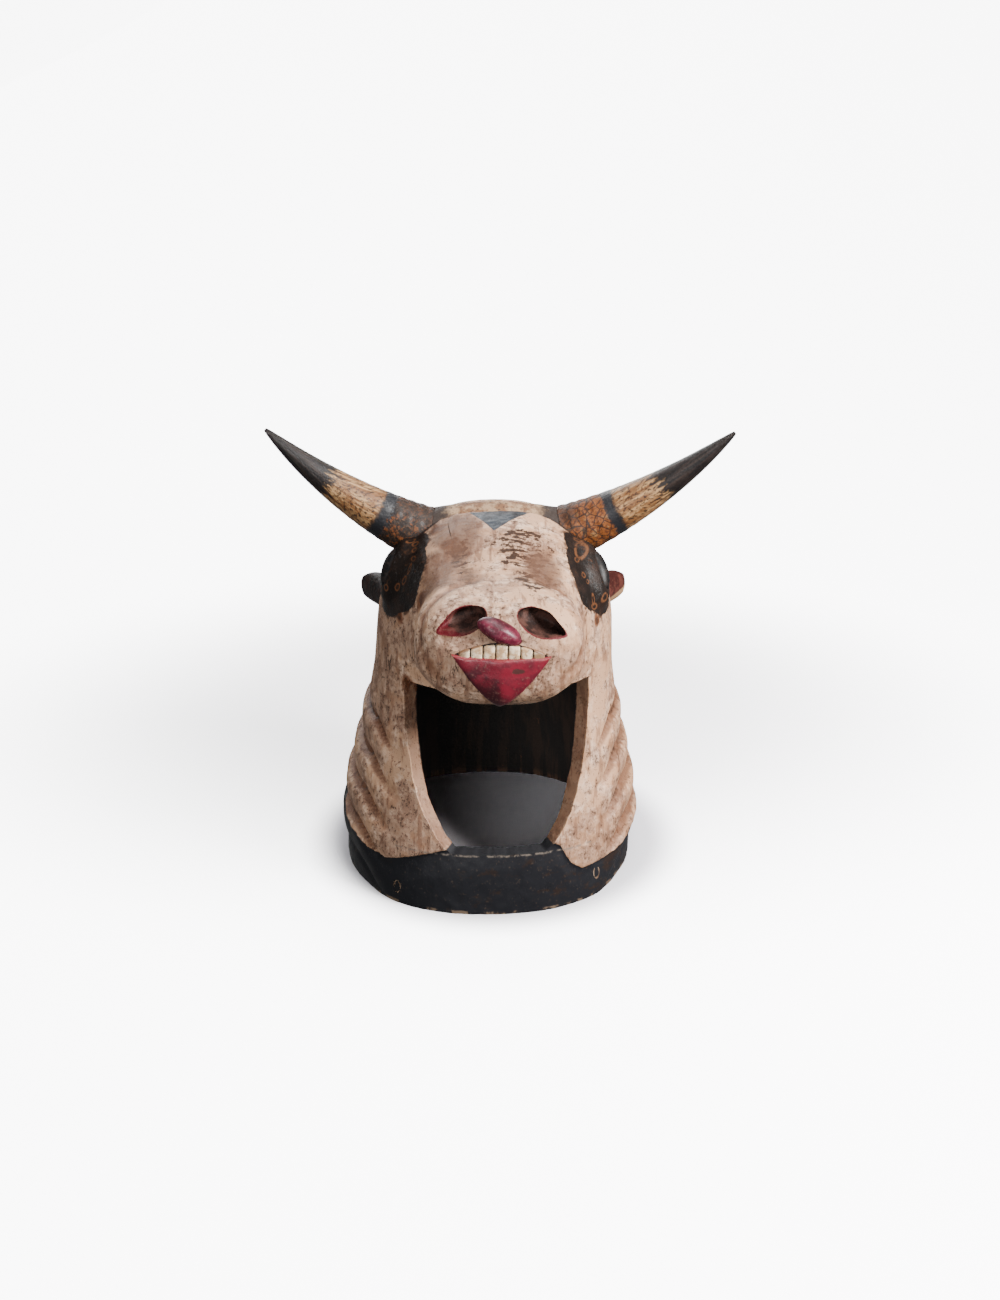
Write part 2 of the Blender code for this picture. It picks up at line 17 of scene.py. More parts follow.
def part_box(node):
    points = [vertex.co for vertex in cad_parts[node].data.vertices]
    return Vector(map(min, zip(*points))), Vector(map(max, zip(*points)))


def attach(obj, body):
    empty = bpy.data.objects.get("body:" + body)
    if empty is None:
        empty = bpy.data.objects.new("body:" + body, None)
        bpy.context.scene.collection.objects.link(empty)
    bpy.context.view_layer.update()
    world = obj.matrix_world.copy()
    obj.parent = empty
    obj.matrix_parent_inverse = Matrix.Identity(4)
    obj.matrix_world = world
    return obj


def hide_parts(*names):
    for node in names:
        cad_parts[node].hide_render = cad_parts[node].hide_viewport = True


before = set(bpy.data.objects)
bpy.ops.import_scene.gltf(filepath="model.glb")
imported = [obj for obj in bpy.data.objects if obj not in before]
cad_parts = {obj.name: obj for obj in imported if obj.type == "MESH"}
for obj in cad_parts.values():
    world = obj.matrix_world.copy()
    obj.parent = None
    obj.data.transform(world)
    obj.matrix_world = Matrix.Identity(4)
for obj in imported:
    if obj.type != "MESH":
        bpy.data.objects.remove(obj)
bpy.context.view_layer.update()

# Overall sizes of the carving
CROWN_HEIGHT = 0.397
FOOT_HALF_WIDTH = 0.170
FOOT_HALF_DEPTH = 0.183
HEAD_HALF_WIDTH = 0.132
HEAD_HALF_DEPTH = 0.148
HEAD_LEAN = 0.009
WALL = 0.020
CROWN_WALL = 0.048
CAVITY_TOP = 0.93
GAP = 0.0003

# Where the sides, front and rear start to narrow and over how much, as shares of the height
SIDE_TAPER = (0.07, 0.57)
FRONT_TAPER = (-0.05, 0.81)
REAR_TAPER = (0.05, 0.71)
DOME_FOOT = 0.585

# Exponents of the rounded outlines: 2 is an ellipse, and more is squarer
NECK_SQUARENESS = 2.25
DOME_SQUARENESS = 2.6
MUZZLE_SQUARENESS = 3.2

# The muzzle, with its front face turned a little about the line of sight
MUZZLE_HALF_WIDTH = 0.092
MUZZLE_WAIST = 0.078
MUZZLE_REACH = 0.248
MUZZLE_LENGTH = 0.216
MUZZLE_TOP = 0.365
MUZZLE_CHIN = 0.249
MUZZLE_BLEND = 0.032
JAW_PINCH = 0.28
FACE_ROLL = math.radians(1.8)
FACE_MIDDLE = (MUZZLE_TOP + MUZZLE_CHIN) / 2.0
FACE_CORE = -0.6 * MUZZLE_REACH

# The opening under the muzzle, as heights and the angles that it spans on each side
OPENING_SILL = 0.067
OPENING_HEAD = 0.243
OPENING_FOOT_ANGLE = math.radians(16)
OPENING_SIDE_ANGLE = math.radians(38)
OPENING_HEAD_ANGLE = math.radians(41)
OPENING_FLARE = 0.9
OPENING_ROUNDING = 0.75

# The rolls of skin
FOLD_COUNT = 4
FOLD_TOP = 0.182
FOLD_PITCH = 0.039
FOLD_DEPTH = 0.0065
FOLD_SINK = 0.0040
FOLD_DROP = 0.030
FOLD_ROUNDING = 0.55
FOLD_LEVEL_FROM = math.radians(33)
FOLD_SHOWN_FROM = math.radians(34)
FOLD_PLAIN_FROM = math.radians(105)
FOLD_PLAIN_SHARE = 0.45
CREASE_SHARE = 0.11
CREASE_DEPTH = 0.0024

# Nostrils, mouth and tongue
NOSTRIL_OFFSET = 0.037
NOSTRIL_HEIGHT = 0.346
NOSTRIL_SIZE = Vector((0.025, 0.024, 0.0115))
NOSTRIL_TILT = math.radians(24)
NOSTRIL_INSET = 0.004
NOSTRIL_PINCH = 0.40
LEDGE_DEPTH = 0.0035
LIP_HALF_WIDTH = 0.047
LIP_TOP = 0.318
LIP_TIP = 0.263
LIP_PROUD = 0.0045
LIP_RIDGE = 0.003
LIP_RIDGE_WIDTH = 0.012
LIP_DIP = 0.0015
LIP_CURVE = 1.25
TOOTH_COUNT = 7
TOOTH_ROW = 0.082
TOOTH_HEIGHT = 0.0125
TOOTH_ROOT = 0.003
TOOTH_ARCH = 6.6
TOOTH_PROUD = 0.0022
TOOTH_SLIT = 0.0014
TONGUE_SIZE = Vector((0.023, 0.013, 0.0105))
TONGUE_HEIGHT = 0.340
TONGUE_OFFSET = -0.002
TONGUE_INSET = 0.002
TONGUE_TILT = math.radians(24)

# Eyes and the black patches round them
EYE_BEARING = math.radians(84)
EYE_LAG = math.radians(7)
EYE_RISE = math.radians(14)
EYE_SLANT = math.radians(-62)
EYE_LENGTH = 0.052
EYE_HEIGHT = 0.024
EYE_PROUD = 0.0035
LID_MARGIN = 0.009
LID_BULGE = 0.010
LID_BLEND = 0.008
PATCH_BEARING = math.radians(84)
PATCH_SLANT = math.radians(-24)
PATCH_CENTRE = 0.005

# Horns, the bone that joins them, and the ears
HORN_ROOT_OFFSET = 0.080
HORN_ROOT_HEIGHT = 0.367
HORN_ROOT_RADIUS = 0.0315
HORN_TIP_OFFSET = 0.245
HORN_TIP_HEIGHT = 0.485
HORN_TIP_RADIUS = 0.0020
HORN_TIP_FORWARD = 0.030
HORN_TIP_LEAN = 0.006
HORN_SAG = 0.009
HORN_DEPTH = 0.004
HORN_TAPER = 0.82
BONE_HALF_LENGTH = 0.086
BONE_HALF_DEPTH = 0.029
BONE_HALF_HEIGHT = 0.021
BONE_PEAK = 0.404
BONE_SHOULDER = 0.393
BONE_WAIST = 0.12
BONE_CURVE = 1.2
EAR_BEARING = math.radians(114)
EAR_RISE = math.radians(-8)
EAR_LENGTH = 0.058
EAR_WIDTH = 0.040
EAR_NECK = 0.6
EAR_ROUND_FROM = 0.45
EAR_THICKNESS = 0.006
EAR_ROOT_DEPTH = 0.014
EAR_PLAY = 0.0018
EAR_SWEEP = math.radians(66)
EAR_DROOP = 0.08
EAR_CUP = 0.009

# Hollows beside the ridge of the nose, each as its middle, reach and depth
HOLLOWS = (
    ((-0.040, -0.100, 0.375), 0.023, 0.0050), ((-0.031, -0.143, 0.366), 0.021, 0.0046),
    ((0.041, -0.106, 0.372), 0.021, 0.0040), ((0.046, -0.148, 0.361), 0.019, 0.0036),
)

# The lines behind the swellings on each side of the muzzle
MUZZLE_LINES = (
    (
        (-0.026, -0.152, 0.365), (-0.046, -0.170, 0.363), (-0.062, -0.188, 0.357), (-0.073, -0.198, 0.349),
        (-0.078, -0.210, 0.337), (-0.078, -0.219, 0.323), (-0.074, -0.226, 0.309), (-0.062, -0.237, 0.296),
    ),
    (
        (0.049, -0.147, 0.360), (0.067, -0.160, 0.350), (0.078, -0.176, 0.338), (0.082, -0.195, 0.326),
        (0.081, -0.214, 0.315), (0.076, -0.224, 0.303), (0.062, -0.236, 0.291),
    ),
)
MUZZLE_LINE_DEPTH = 0.0030
MUZZLE_LINE_WIDTH = 0.0065

# How finely the carving is meshed, and how closely its columns and rows gather
COLUMNS = 380
NECK_ROWS = 88
HEAD_ROWS = 118
FRONT_CROWDING = 0.42
ROW_CROWDING = 0.045
CAVITY_CROWDING = 0.15
CAVITY_COLUMNS = 150
CAVITY_ROWS = 60
BLOB_COLUMNS = 64
BLOB_ROWS = 40
HORN_STATIONS = 150
HORN_COLUMNS = 72
BONE_STATIONS = 90
BONE_COLUMNS = 56
EAR_ROWS = 44
EAR_COLUMNS = 22
SHARP_ANGLE = math.radians(38)

# How far and how finely rays are followed to a form's surface
RAY_LENGTH = 0.45
RAY_STEPS = 91
RAY_HALVINGS = 16
SLOPE_STEP = 0.0005

# Where the rays start that find the head's surface, and where the upright rings of the neck end
HEAD_CORE = np.array([0.0, -0.30 * HEAD_HALF_DEPTH, 0.79 * CROWN_HEIGHT])
SHOULDER_HEIGHT = 0.54 * CROWN_HEIGHT

# The lower edge of the white paint, as bearings from the front in degrees and heights
PAINT_BEARINGS = (
    -180, -120, -90, -69, -58, -48, -42, -32, -20, -16, 0, 20, 22, 24, 26, 30, 41, 51, 65, 90, 140, 180,
)
PAINT_HEIGHTS = (
    0.046, 0.050, 0.062, 0.058, 0.055, 0.0465, 0.0455, 0.0556, 0.0695, 0.0735, 0.080,
    0.074, 0.070, 0.057, 0.0475, 0.0385, 0.0388, 0.043, 0.051, 0.057, 0.050, 0.046,
)

# The outline of an eye's black patch, as directions round it in degrees and reaches
PATCH_TURNS = (-180, -135, -90, -50, -12, 24, 44, 69, 99, 128, 155, 180)
PATCH_REACHES = (0.050, 0.047, 0.043, 0.042, 0.043, 0.062, 0.056, 0.049, 0.044, 0.054, 0.054, 0.050)


def ease(share):
    """0 below 0 and 1 above 1, with a smooth rise between them."""
    share = np.clip(share, 0.0, 1.0)
    return share * share * (3.0 - 2.0 * share)


def melt(first, second, reach):
    """The union of two distance fields, filleted over the given reach."""
    mix = np.clip(0.5 + 0.5 * (second - first) / reach, 0.0, 1.0)
    return second * (1.0 - mix) + first * mix - reach * mix * (1.0 - mix)


def bell(points, inset=0.0, crown_inset=0.0):
    """A field that is negative inside the neck and skull, drawn in by an inset on every side."""
    x, y, z = np.moveaxis(points, -1, 0)
    height = CROWN_HEIGHT - crown_inset
    spread = FOOT_HALF_WIDTH - HEAD_HALF_WIDTH
    deepen = FOOT_HALF_DEPTH - HEAD_HALF_DEPTH
    share = z / CROWN_HEIGHT
    side, front, rear = (
        size + extra * (1.0 - ease((share - start) / length)) - inset
        for size, extra, (start, length) in (
            (HEAD_HALF_WIDTH, spread, SIDE_TAPER),
            (HEAD_HALF_DEPTH, deepen, FRONT_TAPER),
            (HEAD_HALF_DEPTH, deepen, REAR_TAPER),
        )
    )
    middle = -HEAD_LEAN * (1.0 - np.clip(share / 0.8, 0.0, 1.0))
    around = (np.abs(x - middle) / side) ** NECK_SQUARENESS
    around = around + (np.abs(y) / np.where(y < 0.0, front, rear)) ** NECK_SQUARENESS
    dome_foot = DOME_FOOT * height
    dome = np.clip((z - dome_foot) / (height - dome_foot), 0.0, None)
    whole = around ** (DOME_SQUARENESS / NECK_SQUARENESS) + dome**DOME_SQUARENESS
    return (whole ** (1.0 / DOME_SQUARENESS) - 1.0) * HEAD_HALF_WIDTH


def rolled(x, z):
    """A place across and up from the middle of the muzzle's front, turned back by its roll."""
    lift = z - FACE_MIDDLE
    cosine, sine = math.cos(FACE_ROLL), math.sin(FACE_ROLL)
    return x * cosine - lift * sine, x * sine + lift * cosine


def muzzle(points):
    """A field that is negative inside the muzzle, a rounded block that is widest at the nose."""
    x, y, z = np.moveaxis(points, -1, 0)
    x, z = rolled(x, z)
    half_length = MUZZLE_LENGTH / 2.0
    half_height = (MUZZLE_TOP - MUZZLE_CHIN) / 2.0
    along = y + MUZZLE_REACH - half_length
    nose = ease(0.1 - along / half_length)
    half_width = MUZZLE_WAIST + (MUZZLE_HALF_WIDTH - MUZZLE_WAIST) * nose
    jaw = ease(-0.1 - z / half_height) * ease(0.2 - along / half_length)
    half_width = half_width * (1.0 - JAW_PINCH * jaw)
    block = (np.abs(x) / half_width) ** MUZZLE_SQUARENESS
    block = block + (np.abs(along) / half_length) ** MUZZLE_SQUARENESS
    block = block + (np.abs(z) / half_height) ** MUZZLE_SQUARENESS
    return (block ** (1.0 / MUZZLE_SQUARENESS) - 1.0) * half_height


def fold_place(points):
    """How many folds below the topmost crease a point is, and how strongly the folds show there."""
    x, y, z = np.moveaxis(points, -1, 0)
    bearing = np.abs(np.arctan2(x, -y))
    drop = FOLD_DROP * (1.0 - ease((bearing - FOLD_LEVEL_FROM) / math.radians(30)))
    below = (FOLD_TOP - drop - z) / FOLD_PITCH
    side = ease((bearing - FOLD_SHOWN_FROM) / math.radians(22))
    back = 1.0 - FOLD_PLAIN_SHARE * ease((bearing - FOLD_PLAIN_FROM) / math.radians(35))
    return below, side * back


def fold_swell(points):
    """How far the rolls of skin stand out: each swells just under its crease and thins downwards."""
    below, shown = fold_place(points)
    phase = np.clip(below - np.floor(below), 0.0, 1.0)
    counted = (below > 0.0) & (below < FOLD_COUNT)
    swell = np.where(counted, FOLD_DEPTH * np.sin(math.pi * phase**FOLD_ROUNDING), 0.0)
    return (swell - FOLD_SINK * ease(below / FOLD_COUNT * 4.0 + 0.5)) * shown


def head(points):
    """A field that is negative inside the neck, skull and muzzle together."""
    return melt(bell(points), muzzle(points), MUZZLE_BLEND)


def lids(points):
    """A field that is negative inside the bulges of the two eyelids."""
    nearest = np.full(points.shape[:-1], 1.0)
    for side in (-1, 1):
        place, axes = eye_frame(side)
        half_sizes = (EYE_LENGTH / 2 + LID_MARGIN, EYE_HEIGHT / 2 + LID_MARGIN, LID_BULGE)
        local = (points - place) @ np.array(axes).T / np.array(half_sizes)
        nearest = np.minimum(nearest, (np.linalg.norm(local, axis=-1) - 1.0) * LID_BULGE)
    return nearest


def carving(points):
    """A field that is negative inside the whole carving, before its hollow and details are cut."""
    return melt(head(points), lids(points), LID_BLEND) - fold_swell(points)


def reach(starts, ways, field=head):
    """Where rays from inside a form leave it."""
    starts = np.broadcast_to(starts, ways.shape)
    steps = np.linspace(0.0, RAY_LENGTH, RAY_STEPS)
    first_out = np.zeros(ways.shape[:-1], int)
    inside = np.ones(ways.shape[:-1], bool)
    for count, step in enumerate(steps):
        inside &= field(starts + ways * step) < 0.0
        first_out[inside] = count + 1
    near = steps[np.maximum(first_out - 1, 0)]
    far = steps[np.minimum(first_out, len(steps) - 1)]
    for _ in range(RAY_HALVINGS):
        middle = (near + far) / 2.0
        within = field(starts + ways * middle[..., None]) < 0.0
        near = np.where(within, middle, near)
        far = np.where(within, far, middle)
    return starts + ways * ((near + far) / 2.0)[..., None]


def outward(points, field=head):
    """The directions in which a form's surface faces at points of it."""
    nudge = SLOPE_STEP * np.eye(3)
    slope = np.stack([field(points + way) - field(points - way) for way in nudge], axis=-1)
    return slope / np.linalg.norm(slope, axis=-1, keepdims=True)


def on_head(bearing, rise, side):
    """A point of the head's surface, seen from its core at a bearing from the front and a rise."""
    level = math.cos(rise)
    way = np.array([side * math.sin(bearing) * level, -math.cos(bearing) * level, math.sin(rise)])
    return reach(HEAD_CORE, way[None, :])[0]


def side_axes(place, side, slant):
    """Directions on the side of the head: forwards and down, across that, and outwards."""
    facing = Vector(outward(place))
    forward = Vector((0.0, -math.cos(slant), math.sin(slant)))
    along = (forward - facing * forward.dot(facing)).normalized()
    return along, facing.cross(along), facing


@functools.lru_cache(maxsize=None)
def eye_frame(side):
    """An eye's place on the head, and its directions: along the lid, across it, outwards."""
    place = on_head(EYE_BEARING + (EYE_LAG if side < 0 else 0.0), EYE_RISE, side)
    return place, side_axes(place, side, EYE_SLANT)


def frame_shift():
    """From the carving's own place, with the head's mid-plane at X = 0, to where the solids stand."""
    low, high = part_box("eye_left")
    return (low + high) / 2.0 - Vector(eye_frame(-1)[0])


# Meshes

def mesh_object(name, points, faces, finish=None):
    """An object with the given mesh, linked to the scene."""
    mesh = bpy.data.meshes.new(name)
    mesh.from_pydata(points, [], faces)
    if finish:
        mesh.materials.append(finish)
    made = bpy.data.objects.new(name, mesh)
    bpy.context.scene.collection.objects.link(made)
    return made


def ring_solid(name, rings, peak, finish=None, turn_out=True):
    """A closed mesh of stacked rings, flat across the first and drawn together at a peak."""
    rings = np.array(rings)
    rows, columns = rings.shape[:2]
    index = np.arange(rows * columns).reshape(rows, columns)
    lower, upper = index[:-1], index[1:]
    around = (lower, np.roll(lower, -1, 1), np.roll(upper, -1, 1), upper)
    faces = np.stack(around, axis=-1).reshape(-1, 4).tolist()
    faces.append(index[0][::-1].tolist())
    top = rows * columns
    faces += [[int(a), int(b), top] for a, b in zip(index[-1], np.roll(index[-1], -1))]
    points = np.concatenate([rings.reshape(-1, 3), np.array(peak).reshape(1, 3)])
    made = mesh_object(name, points.tolist(), faces, finish)
    if turn_out:
        edit_mesh(made, lambda edit: bmesh.ops.recalc_face_normals(edit, faces=edit.faces))
    return made


def edit_mesh(piece, change):
    """Runs a change on a piece's mesh."""
    edit = bmesh.new()
    edit.from_mesh(piece.data)
    change(edit)
    edit.to_mesh(piece.data)
    edit.free()


def blob(name, place, axes, half_sizes, finish=None, shape=None):
    """A closed rounded solid: a sphere, reshaped if a shape is given, then sized along three axes."""
    turns = np.linspace(0.0, 2.0 * math.pi, BLOB_COLUMNS, endpoint=False)
    tilts = np.linspace(-math.pi / 2, math.pi / 2, BLOB_ROWS + 2)[1:-1]
    level = np.stack([np.cos(turns), np.sin(turns), np.zeros(BLOB_COLUMNS)], axis=-1)
    unit = np.array([level * math.cos(tilt) + np.array([0, 0, math.sin(tilt)]) for tilt in tilts])
    ends = np.array([[0.0, 0.0, -1.0], [0.0, 0.0, 1.0]])
    first = np.repeat(ends[:1], BLOB_COLUMNS, axis=0)[None] * 0.9999 + unit[:1] * 0.0001
    unit = np.concatenate([first, unit])
    if shape:
        unit = shape(unit)
    frame_of = np.array([list(axis) for axis in axes]) * np.array(half_sizes)[:, None]
    return ring_solid(name, np.array(place) + unit @ frame_of, np.array(place) + ends[1] @ frame_of, finish)


def cut(target, tool, operation="DIFFERENCE"):
    """Cuts a tool from a piece, or joins it on. The faces that it makes take the tool's finish."""
    modifier = target.modifiers.new(tool.name, "BOOLEAN")
    modifier.object = tool
    modifier.operation = operation
    modifier.solver = "MANIFOLD"
    modifier.material_mode = "TRANSFER"
    settle(target)
    bpy.data.objects.remove(tool)


def settle(piece):
    """Applies a piece's modifiers."""
    graph = bpy.context.evaluated_depsgraph_get()
    mesh = bpy.data.meshes.new_from_object(piece.evaluated_get(graph))
    piece.modifiers.clear()
    old = piece.data
    piece.data = mesh
    bpy.data.meshes.remove(old)


def points_of(piece):
    """The places of a piece's points."""
    points = np.empty(len(piece.data.vertices) * 3, np.float32)
    piece.data.vertices.foreach_get("co", points)
    return points.reshape(-1, 3).astype(float)


def give(piece, name, values):
    """Stores a number for each of a piece's points, for its finish to read."""
    layer = piece.data.attributes.new(name, "FLOAT", "POINT")
    layer.data.foreach_set("value", np.asarray(values, np.float32))


def finish_piece(piece, node):
    """Puts a piece in its place in the frame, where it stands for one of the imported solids."""
    piece.data.transform(Matrix.Translation(frame_shift()))
    piece.data.shade_smooth()
    piece.data.set_sharp_from_angle(angle=SHARP_ANGLE)
    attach(piece, "root")
    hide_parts(node)


def rough(points, scale, seed=0.0):
    """Smooth noise from -1 to 1 at each point."""
    flat = (np.asarray(points).reshape(-1, 3) * scale + seed).tolist()
    return np.array([noise.noise(place) for place in flat]).reshape(np.shape(points)[:-1])


def scoops(points, scale):
    """0 in the middle of each cell of a foam and 1 on the ridges between the cells."""
    flat = (np.asarray(points).reshape(-1, 3) * scale).tolist()
    gaps = [noise.voronoi(place)[0] for place in flat]
    ridges = np.array([1.0 - min(1.0, 2.2 * (gap[1] - gap[0])) for gap in gaps])
    return ridges.reshape(np.shape(points)[:-1])


# The carving

def bearings(count, crowding):
    """Angles round the mask from its back, closer together at the front."""
    even = np.linspace(-math.pi, math.pi, count, endpoint=False)
    return even - crowding * np.sin(even)


def level_ways(around):
    """Level directions outwards at each angle round the mask."""
    return np.stack([np.sin(around), -np.cos(around), np.zeros(len(around))], axis=-1)


def carved_rows():
    """Rings of points on the carving, from the foot up to a small ring at the crown."""
    ways = level_ways(bearings(COLUMNS, FRONT_CROWDING))
    heights = np.linspace(0.0, SHOULDER_HEIGHT, NECK_ROWS)
    starts = np.zeros((NECK_ROWS, COLUMNS, 3))
    starts[..., 2] = heights[:, None]
    neck = reach(starts, np.broadcast_to(ways, starts.shape), carving)
    away = neck[-1] - HEAD_CORE
    away /= np.linalg.norm(away, axis=-1, keepdims=True)
    up = np.array([0.0, 0.0, 1.0])
    turn = np.arccos(np.clip(away @ up, -1.0, 1.0))[None, :, None]
    share = np.linspace(0.0, 1.0, HEAD_ROWS + 2)[1:-1]
    share = (share - ROW_CROWDING * np.sin(2.0 * math.pi * share))[:, None, None]
    ways = (np.sin((1.0 - share) * turn) * away + np.sin(share * turn) * up) / np.sin(turn)
    return np.concatenate([neck, reach(HEAD_CORE, ways, carving)])


def paint_edge(points):
    """How far above the white paint's lower edge a point is."""
    bearing = np.degrees(np.arctan2(points[..., 0], -points[..., 1]))
    return points[..., 2] - np.interp(bearing, PAINT_BEARINGS, PAINT_HEIGHTS)


def crease_depth(points):
    """1 in the bottom of a crease between two folds, and 0 away from it."""
    below, shown = fold_place(points)
    nearest = np.clip(np.round(below), 0, FOLD_COUNT)
    return np.exp(-(((below - nearest) / CREASE_SHARE) ** 2)) * shown


def face_place(points):
    """Widths and heights on the muzzle's front, turned back by its roll."""
    across, lift = rolled(points[..., 0], points[..., 2])
    return across, FACE_MIDDLE + lift


def nostril_ledge(points):
    """1 on the sloping ledge that the carver left under the nostril on the left."""
    across, height = face_place(points)
    along = (across + 0.041) / 0.021
    rise = (height - 0.331 - 0.12 * (across + 0.041)) / 0.0075
    flat = 1.0 - ease((np.sqrt(along**2 + rise**2) - 0.55) / 0.5)
    return flat * (points[..., 1] < FACE_CORE)


def near_line(points, line, width):
    """1 on a line of points and 0 away from it."""
    nearest = np.full(points.shape[:-1], 1.0)
    for start, end in zip(line, line[1:]):
        start, way = np.array(start), np.array(end) - np.array(start)
        share = np.clip((points - start) @ way / (way @ way), 0.0, 1.0)
        gap = np.linalg.norm(points - start - share[..., None] * way, axis=-1)
        nearest = np.minimum(nearest, gap)
    return np.exp(-((nearest / width) ** 2))


def muzzle_line(points):
    """1 on the lines behind the muzzle's swellings and 0 away from them."""
    left, right = (near_line(points, line, MUZZLE_LINE_WIDTH) for line in MUZZLE_LINES)
    return np.maximum(left, right)


def hollow_depth(points):
    """How deep the hollows beside the nose are."""
    depth = np.zeros(points.shape[:-1])
    for place, size, deepest in HOLLOWS:
        gap = np.sum((points - np.array(place)) ** 2, axis=-1) / size**2
        depth = depth + 0.75 * deepest * np.exp(-gap)
    return depth


def carved_detail(points):
    """How deep blade marks, creases and worn places go in from the smooth form."""
    depth = 0.0007 * scoops(points, 62.0) * (0.5 + 0.5 * rough(points, 14.0))
    depth = 0.0009 - np.clip(depth, 0.0, None) + 0.0006 * rough(points, 32.0, 5.0)
    depth = depth + CREASE_DEPTH * crease_depth(points) + hollow_depth(points)
    depth = depth + MUZZLE_LINE_DEPTH * muzzle_line(points)
    above = paint_edge(points)
    step = (1.0 - ease((above + 0.0012) / 0.0024)) * (1.0 - ease(-above / 0.030))
    depth = depth + 0.0020 * step + LEDGE_DEPTH * nostril_ledge(points)
    return np.clip(depth, 0.0, None)


def carved_log(finish):
    """The outside of the carving as one closed form, before anything is cut."""
    rows = carved_rows()
    facing = outward(rows, carving)
    facing[0, :, 2] = 0.0
    rows = rows - facing * carved_detail(rows)[..., None]
    rows[..., 2] = np.maximum(rows[..., 2], 0.0)
    crown = reach(HEAD_CORE, np.array([[0.0, 0.0, 1.0]]), carving)[0] - np.array([0.0, 0.0, 0.0006])
    return ring_solid("mask_carving", rows, crown, finish, turn_out=False)


def hollow(finish):
    """The hollow for the wearer's head, with the marks of the gouge."""
    ways = level_ways(bearings(CAVITY_COLUMNS, CAVITY_CROWDING))

    def form(points):
        return bell(points, WALL, CROWN_WALL)

    heights = np.linspace(0.0, CAVITY_TOP * (CROWN_HEIGHT - CROWN_WALL), CAVITY_ROWS)
    starts = np.zeros((CAVITY_ROWS, CAVITY_COLUMNS, 3))
    starts[..., 2] = heights[:, None]
    rings = reach(starts, np.broadcast_to(ways, starts.shape), form)
    out = outward(rings, form)
    out[..., 2] = 0.0
    rings = rings + out * (0.0011 * scoops(rings * np.array([1.0, 1.0, 0.6]), 48.0))[..., None]
    below = rings[0].copy()
    below[:, 2] = -WALL
    peak = reach(np.array([0.0, 0.0, heights[-1]]), np.array([[0.0, 0.0, 1.0]]), form)[0]
    return ring_solid("hollow", np.concatenate([below[None], rings]), peak, finish)


def opening(finish):
    """The opening under the muzzle, cut square through the wall by hand."""
    share = np.linspace(0.0, 1.0, 90) ** 1.6
    levels = OPENING_SILL + (OPENING_HEAD - OPENING_SILL) * share
    flare = np.sin(math.pi / 2.0 * np.minimum(share / OPENING_FLARE, 1.0)) ** OPENING_ROUNDING
    spread = OPENING_FOOT_ANGLE + (OPENING_SIDE_ANGLE - OPENING_FOOT_ANGLE) * flare
    spread = spread + (OPENING_HEAD_ANGLE - OPENING_SIDE_ANGLE) * ease((share - 0.5) / 0.5)
    across = np.linspace(1.0, -1.0, 40)[1:-1]
    sides = [(angle, level) for angle, level in zip(spread, levels)]
    head_line = [(OPENING_HEAD_ANGLE * u, OPENING_HEAD) for u in across]
    other = [(-angle, level) for angle, level in zip(spread[::-1], levels[::-1])]
    sill = [(-OPENING_FOOT_ANGLE * u, OPENING_SILL) for u in across]
    outline = np.array(sides + head_line + other + sill)
    wobble = np.stack([np.sin(outline[:, 0]), outline[:, 1], outline[:, 1] * 0.0], axis=-1)
    outline[:, 0] += 0.006 * rough(wobble, 34.0)
    outline[:, 1] += 0.0010 * rough(wobble, 40.0, 7.0)
    rings = []
    for radius in np.linspace(0.25, 1.5, 26) * FOOT_HALF_DEPTH:
        angle, level = outline[:, 0], outline[:, 1]
        ring = np.stack([radius * np.sin(angle), -radius * np.cos(angle), level], axis=-1)
        rings.append(ring + np.stack([0.0007 * rough(ring, 90.0, k) for k in (1.0, 2.0, 3.0)], axis=-1))
    return ring_solid("opening", rings, np.mean(rings[-1], axis=0), finish)


def front_face(across, height):
    """The points of the muzzle's front face in front of given widths and heights on the rolled face."""
    cosine, sine = math.cos(FACE_ROLL), math.sin(FACE_ROLL)
    x = across * cosine + (height - FACE_MIDDLE) * sine
    z = FACE_MIDDLE - across * sine + (height - FACE_MIDDLE) * cosine
    starts = np.stack([x, np.full_like(x, FACE_CORE), z], axis=-1)
    return reach(starts, np.broadcast_to([0.0, -1.0, 0.0], starts.shape))


def relief(name, outline, profile, proud, finish, ridge=0.0):
    """A solid that lies on the muzzle's front face. Its profile gives shares of its outline and lifts."""
    outline = np.array(outline)
    centre = outline.mean(axis=0)
    rings = []
    for share, lift in profile:
        flat = centre + (outline - centre) * share
        points = front_face(flat[:, 0], flat[:, 1])
        crest = ridge * np.exp(-((flat[:, 0] / LIP_RIDGE_WIDTH) ** 2)) * ease(lift * 2.0)
        points[:, 1] -= proud * lift + crest
        if lift > 0.0:
            points[:, 1] += 0.0004 * rough(points, 120.0)
        rings.append(points)
    peak = front_face(centre[:1], centre[1:])[0]
    peak[1] -= proud * profile[-1][1] + ridge
    return ring_solid(name, rings, peak, finish)


def rounded(edge, steps):
    """A relief's profile: a skirt in the wood, a steep edge, and a nearly level top."""
    profile = [(1.0, -1.4), (1.0, 0.1)]
    for share in np.linspace(0.0, 1.0, steps)[1:]:
        profile.append((1.0 - 0.92 * share**2, 1.0 - (1.0 - share) ** edge * 0.9))
    return profile


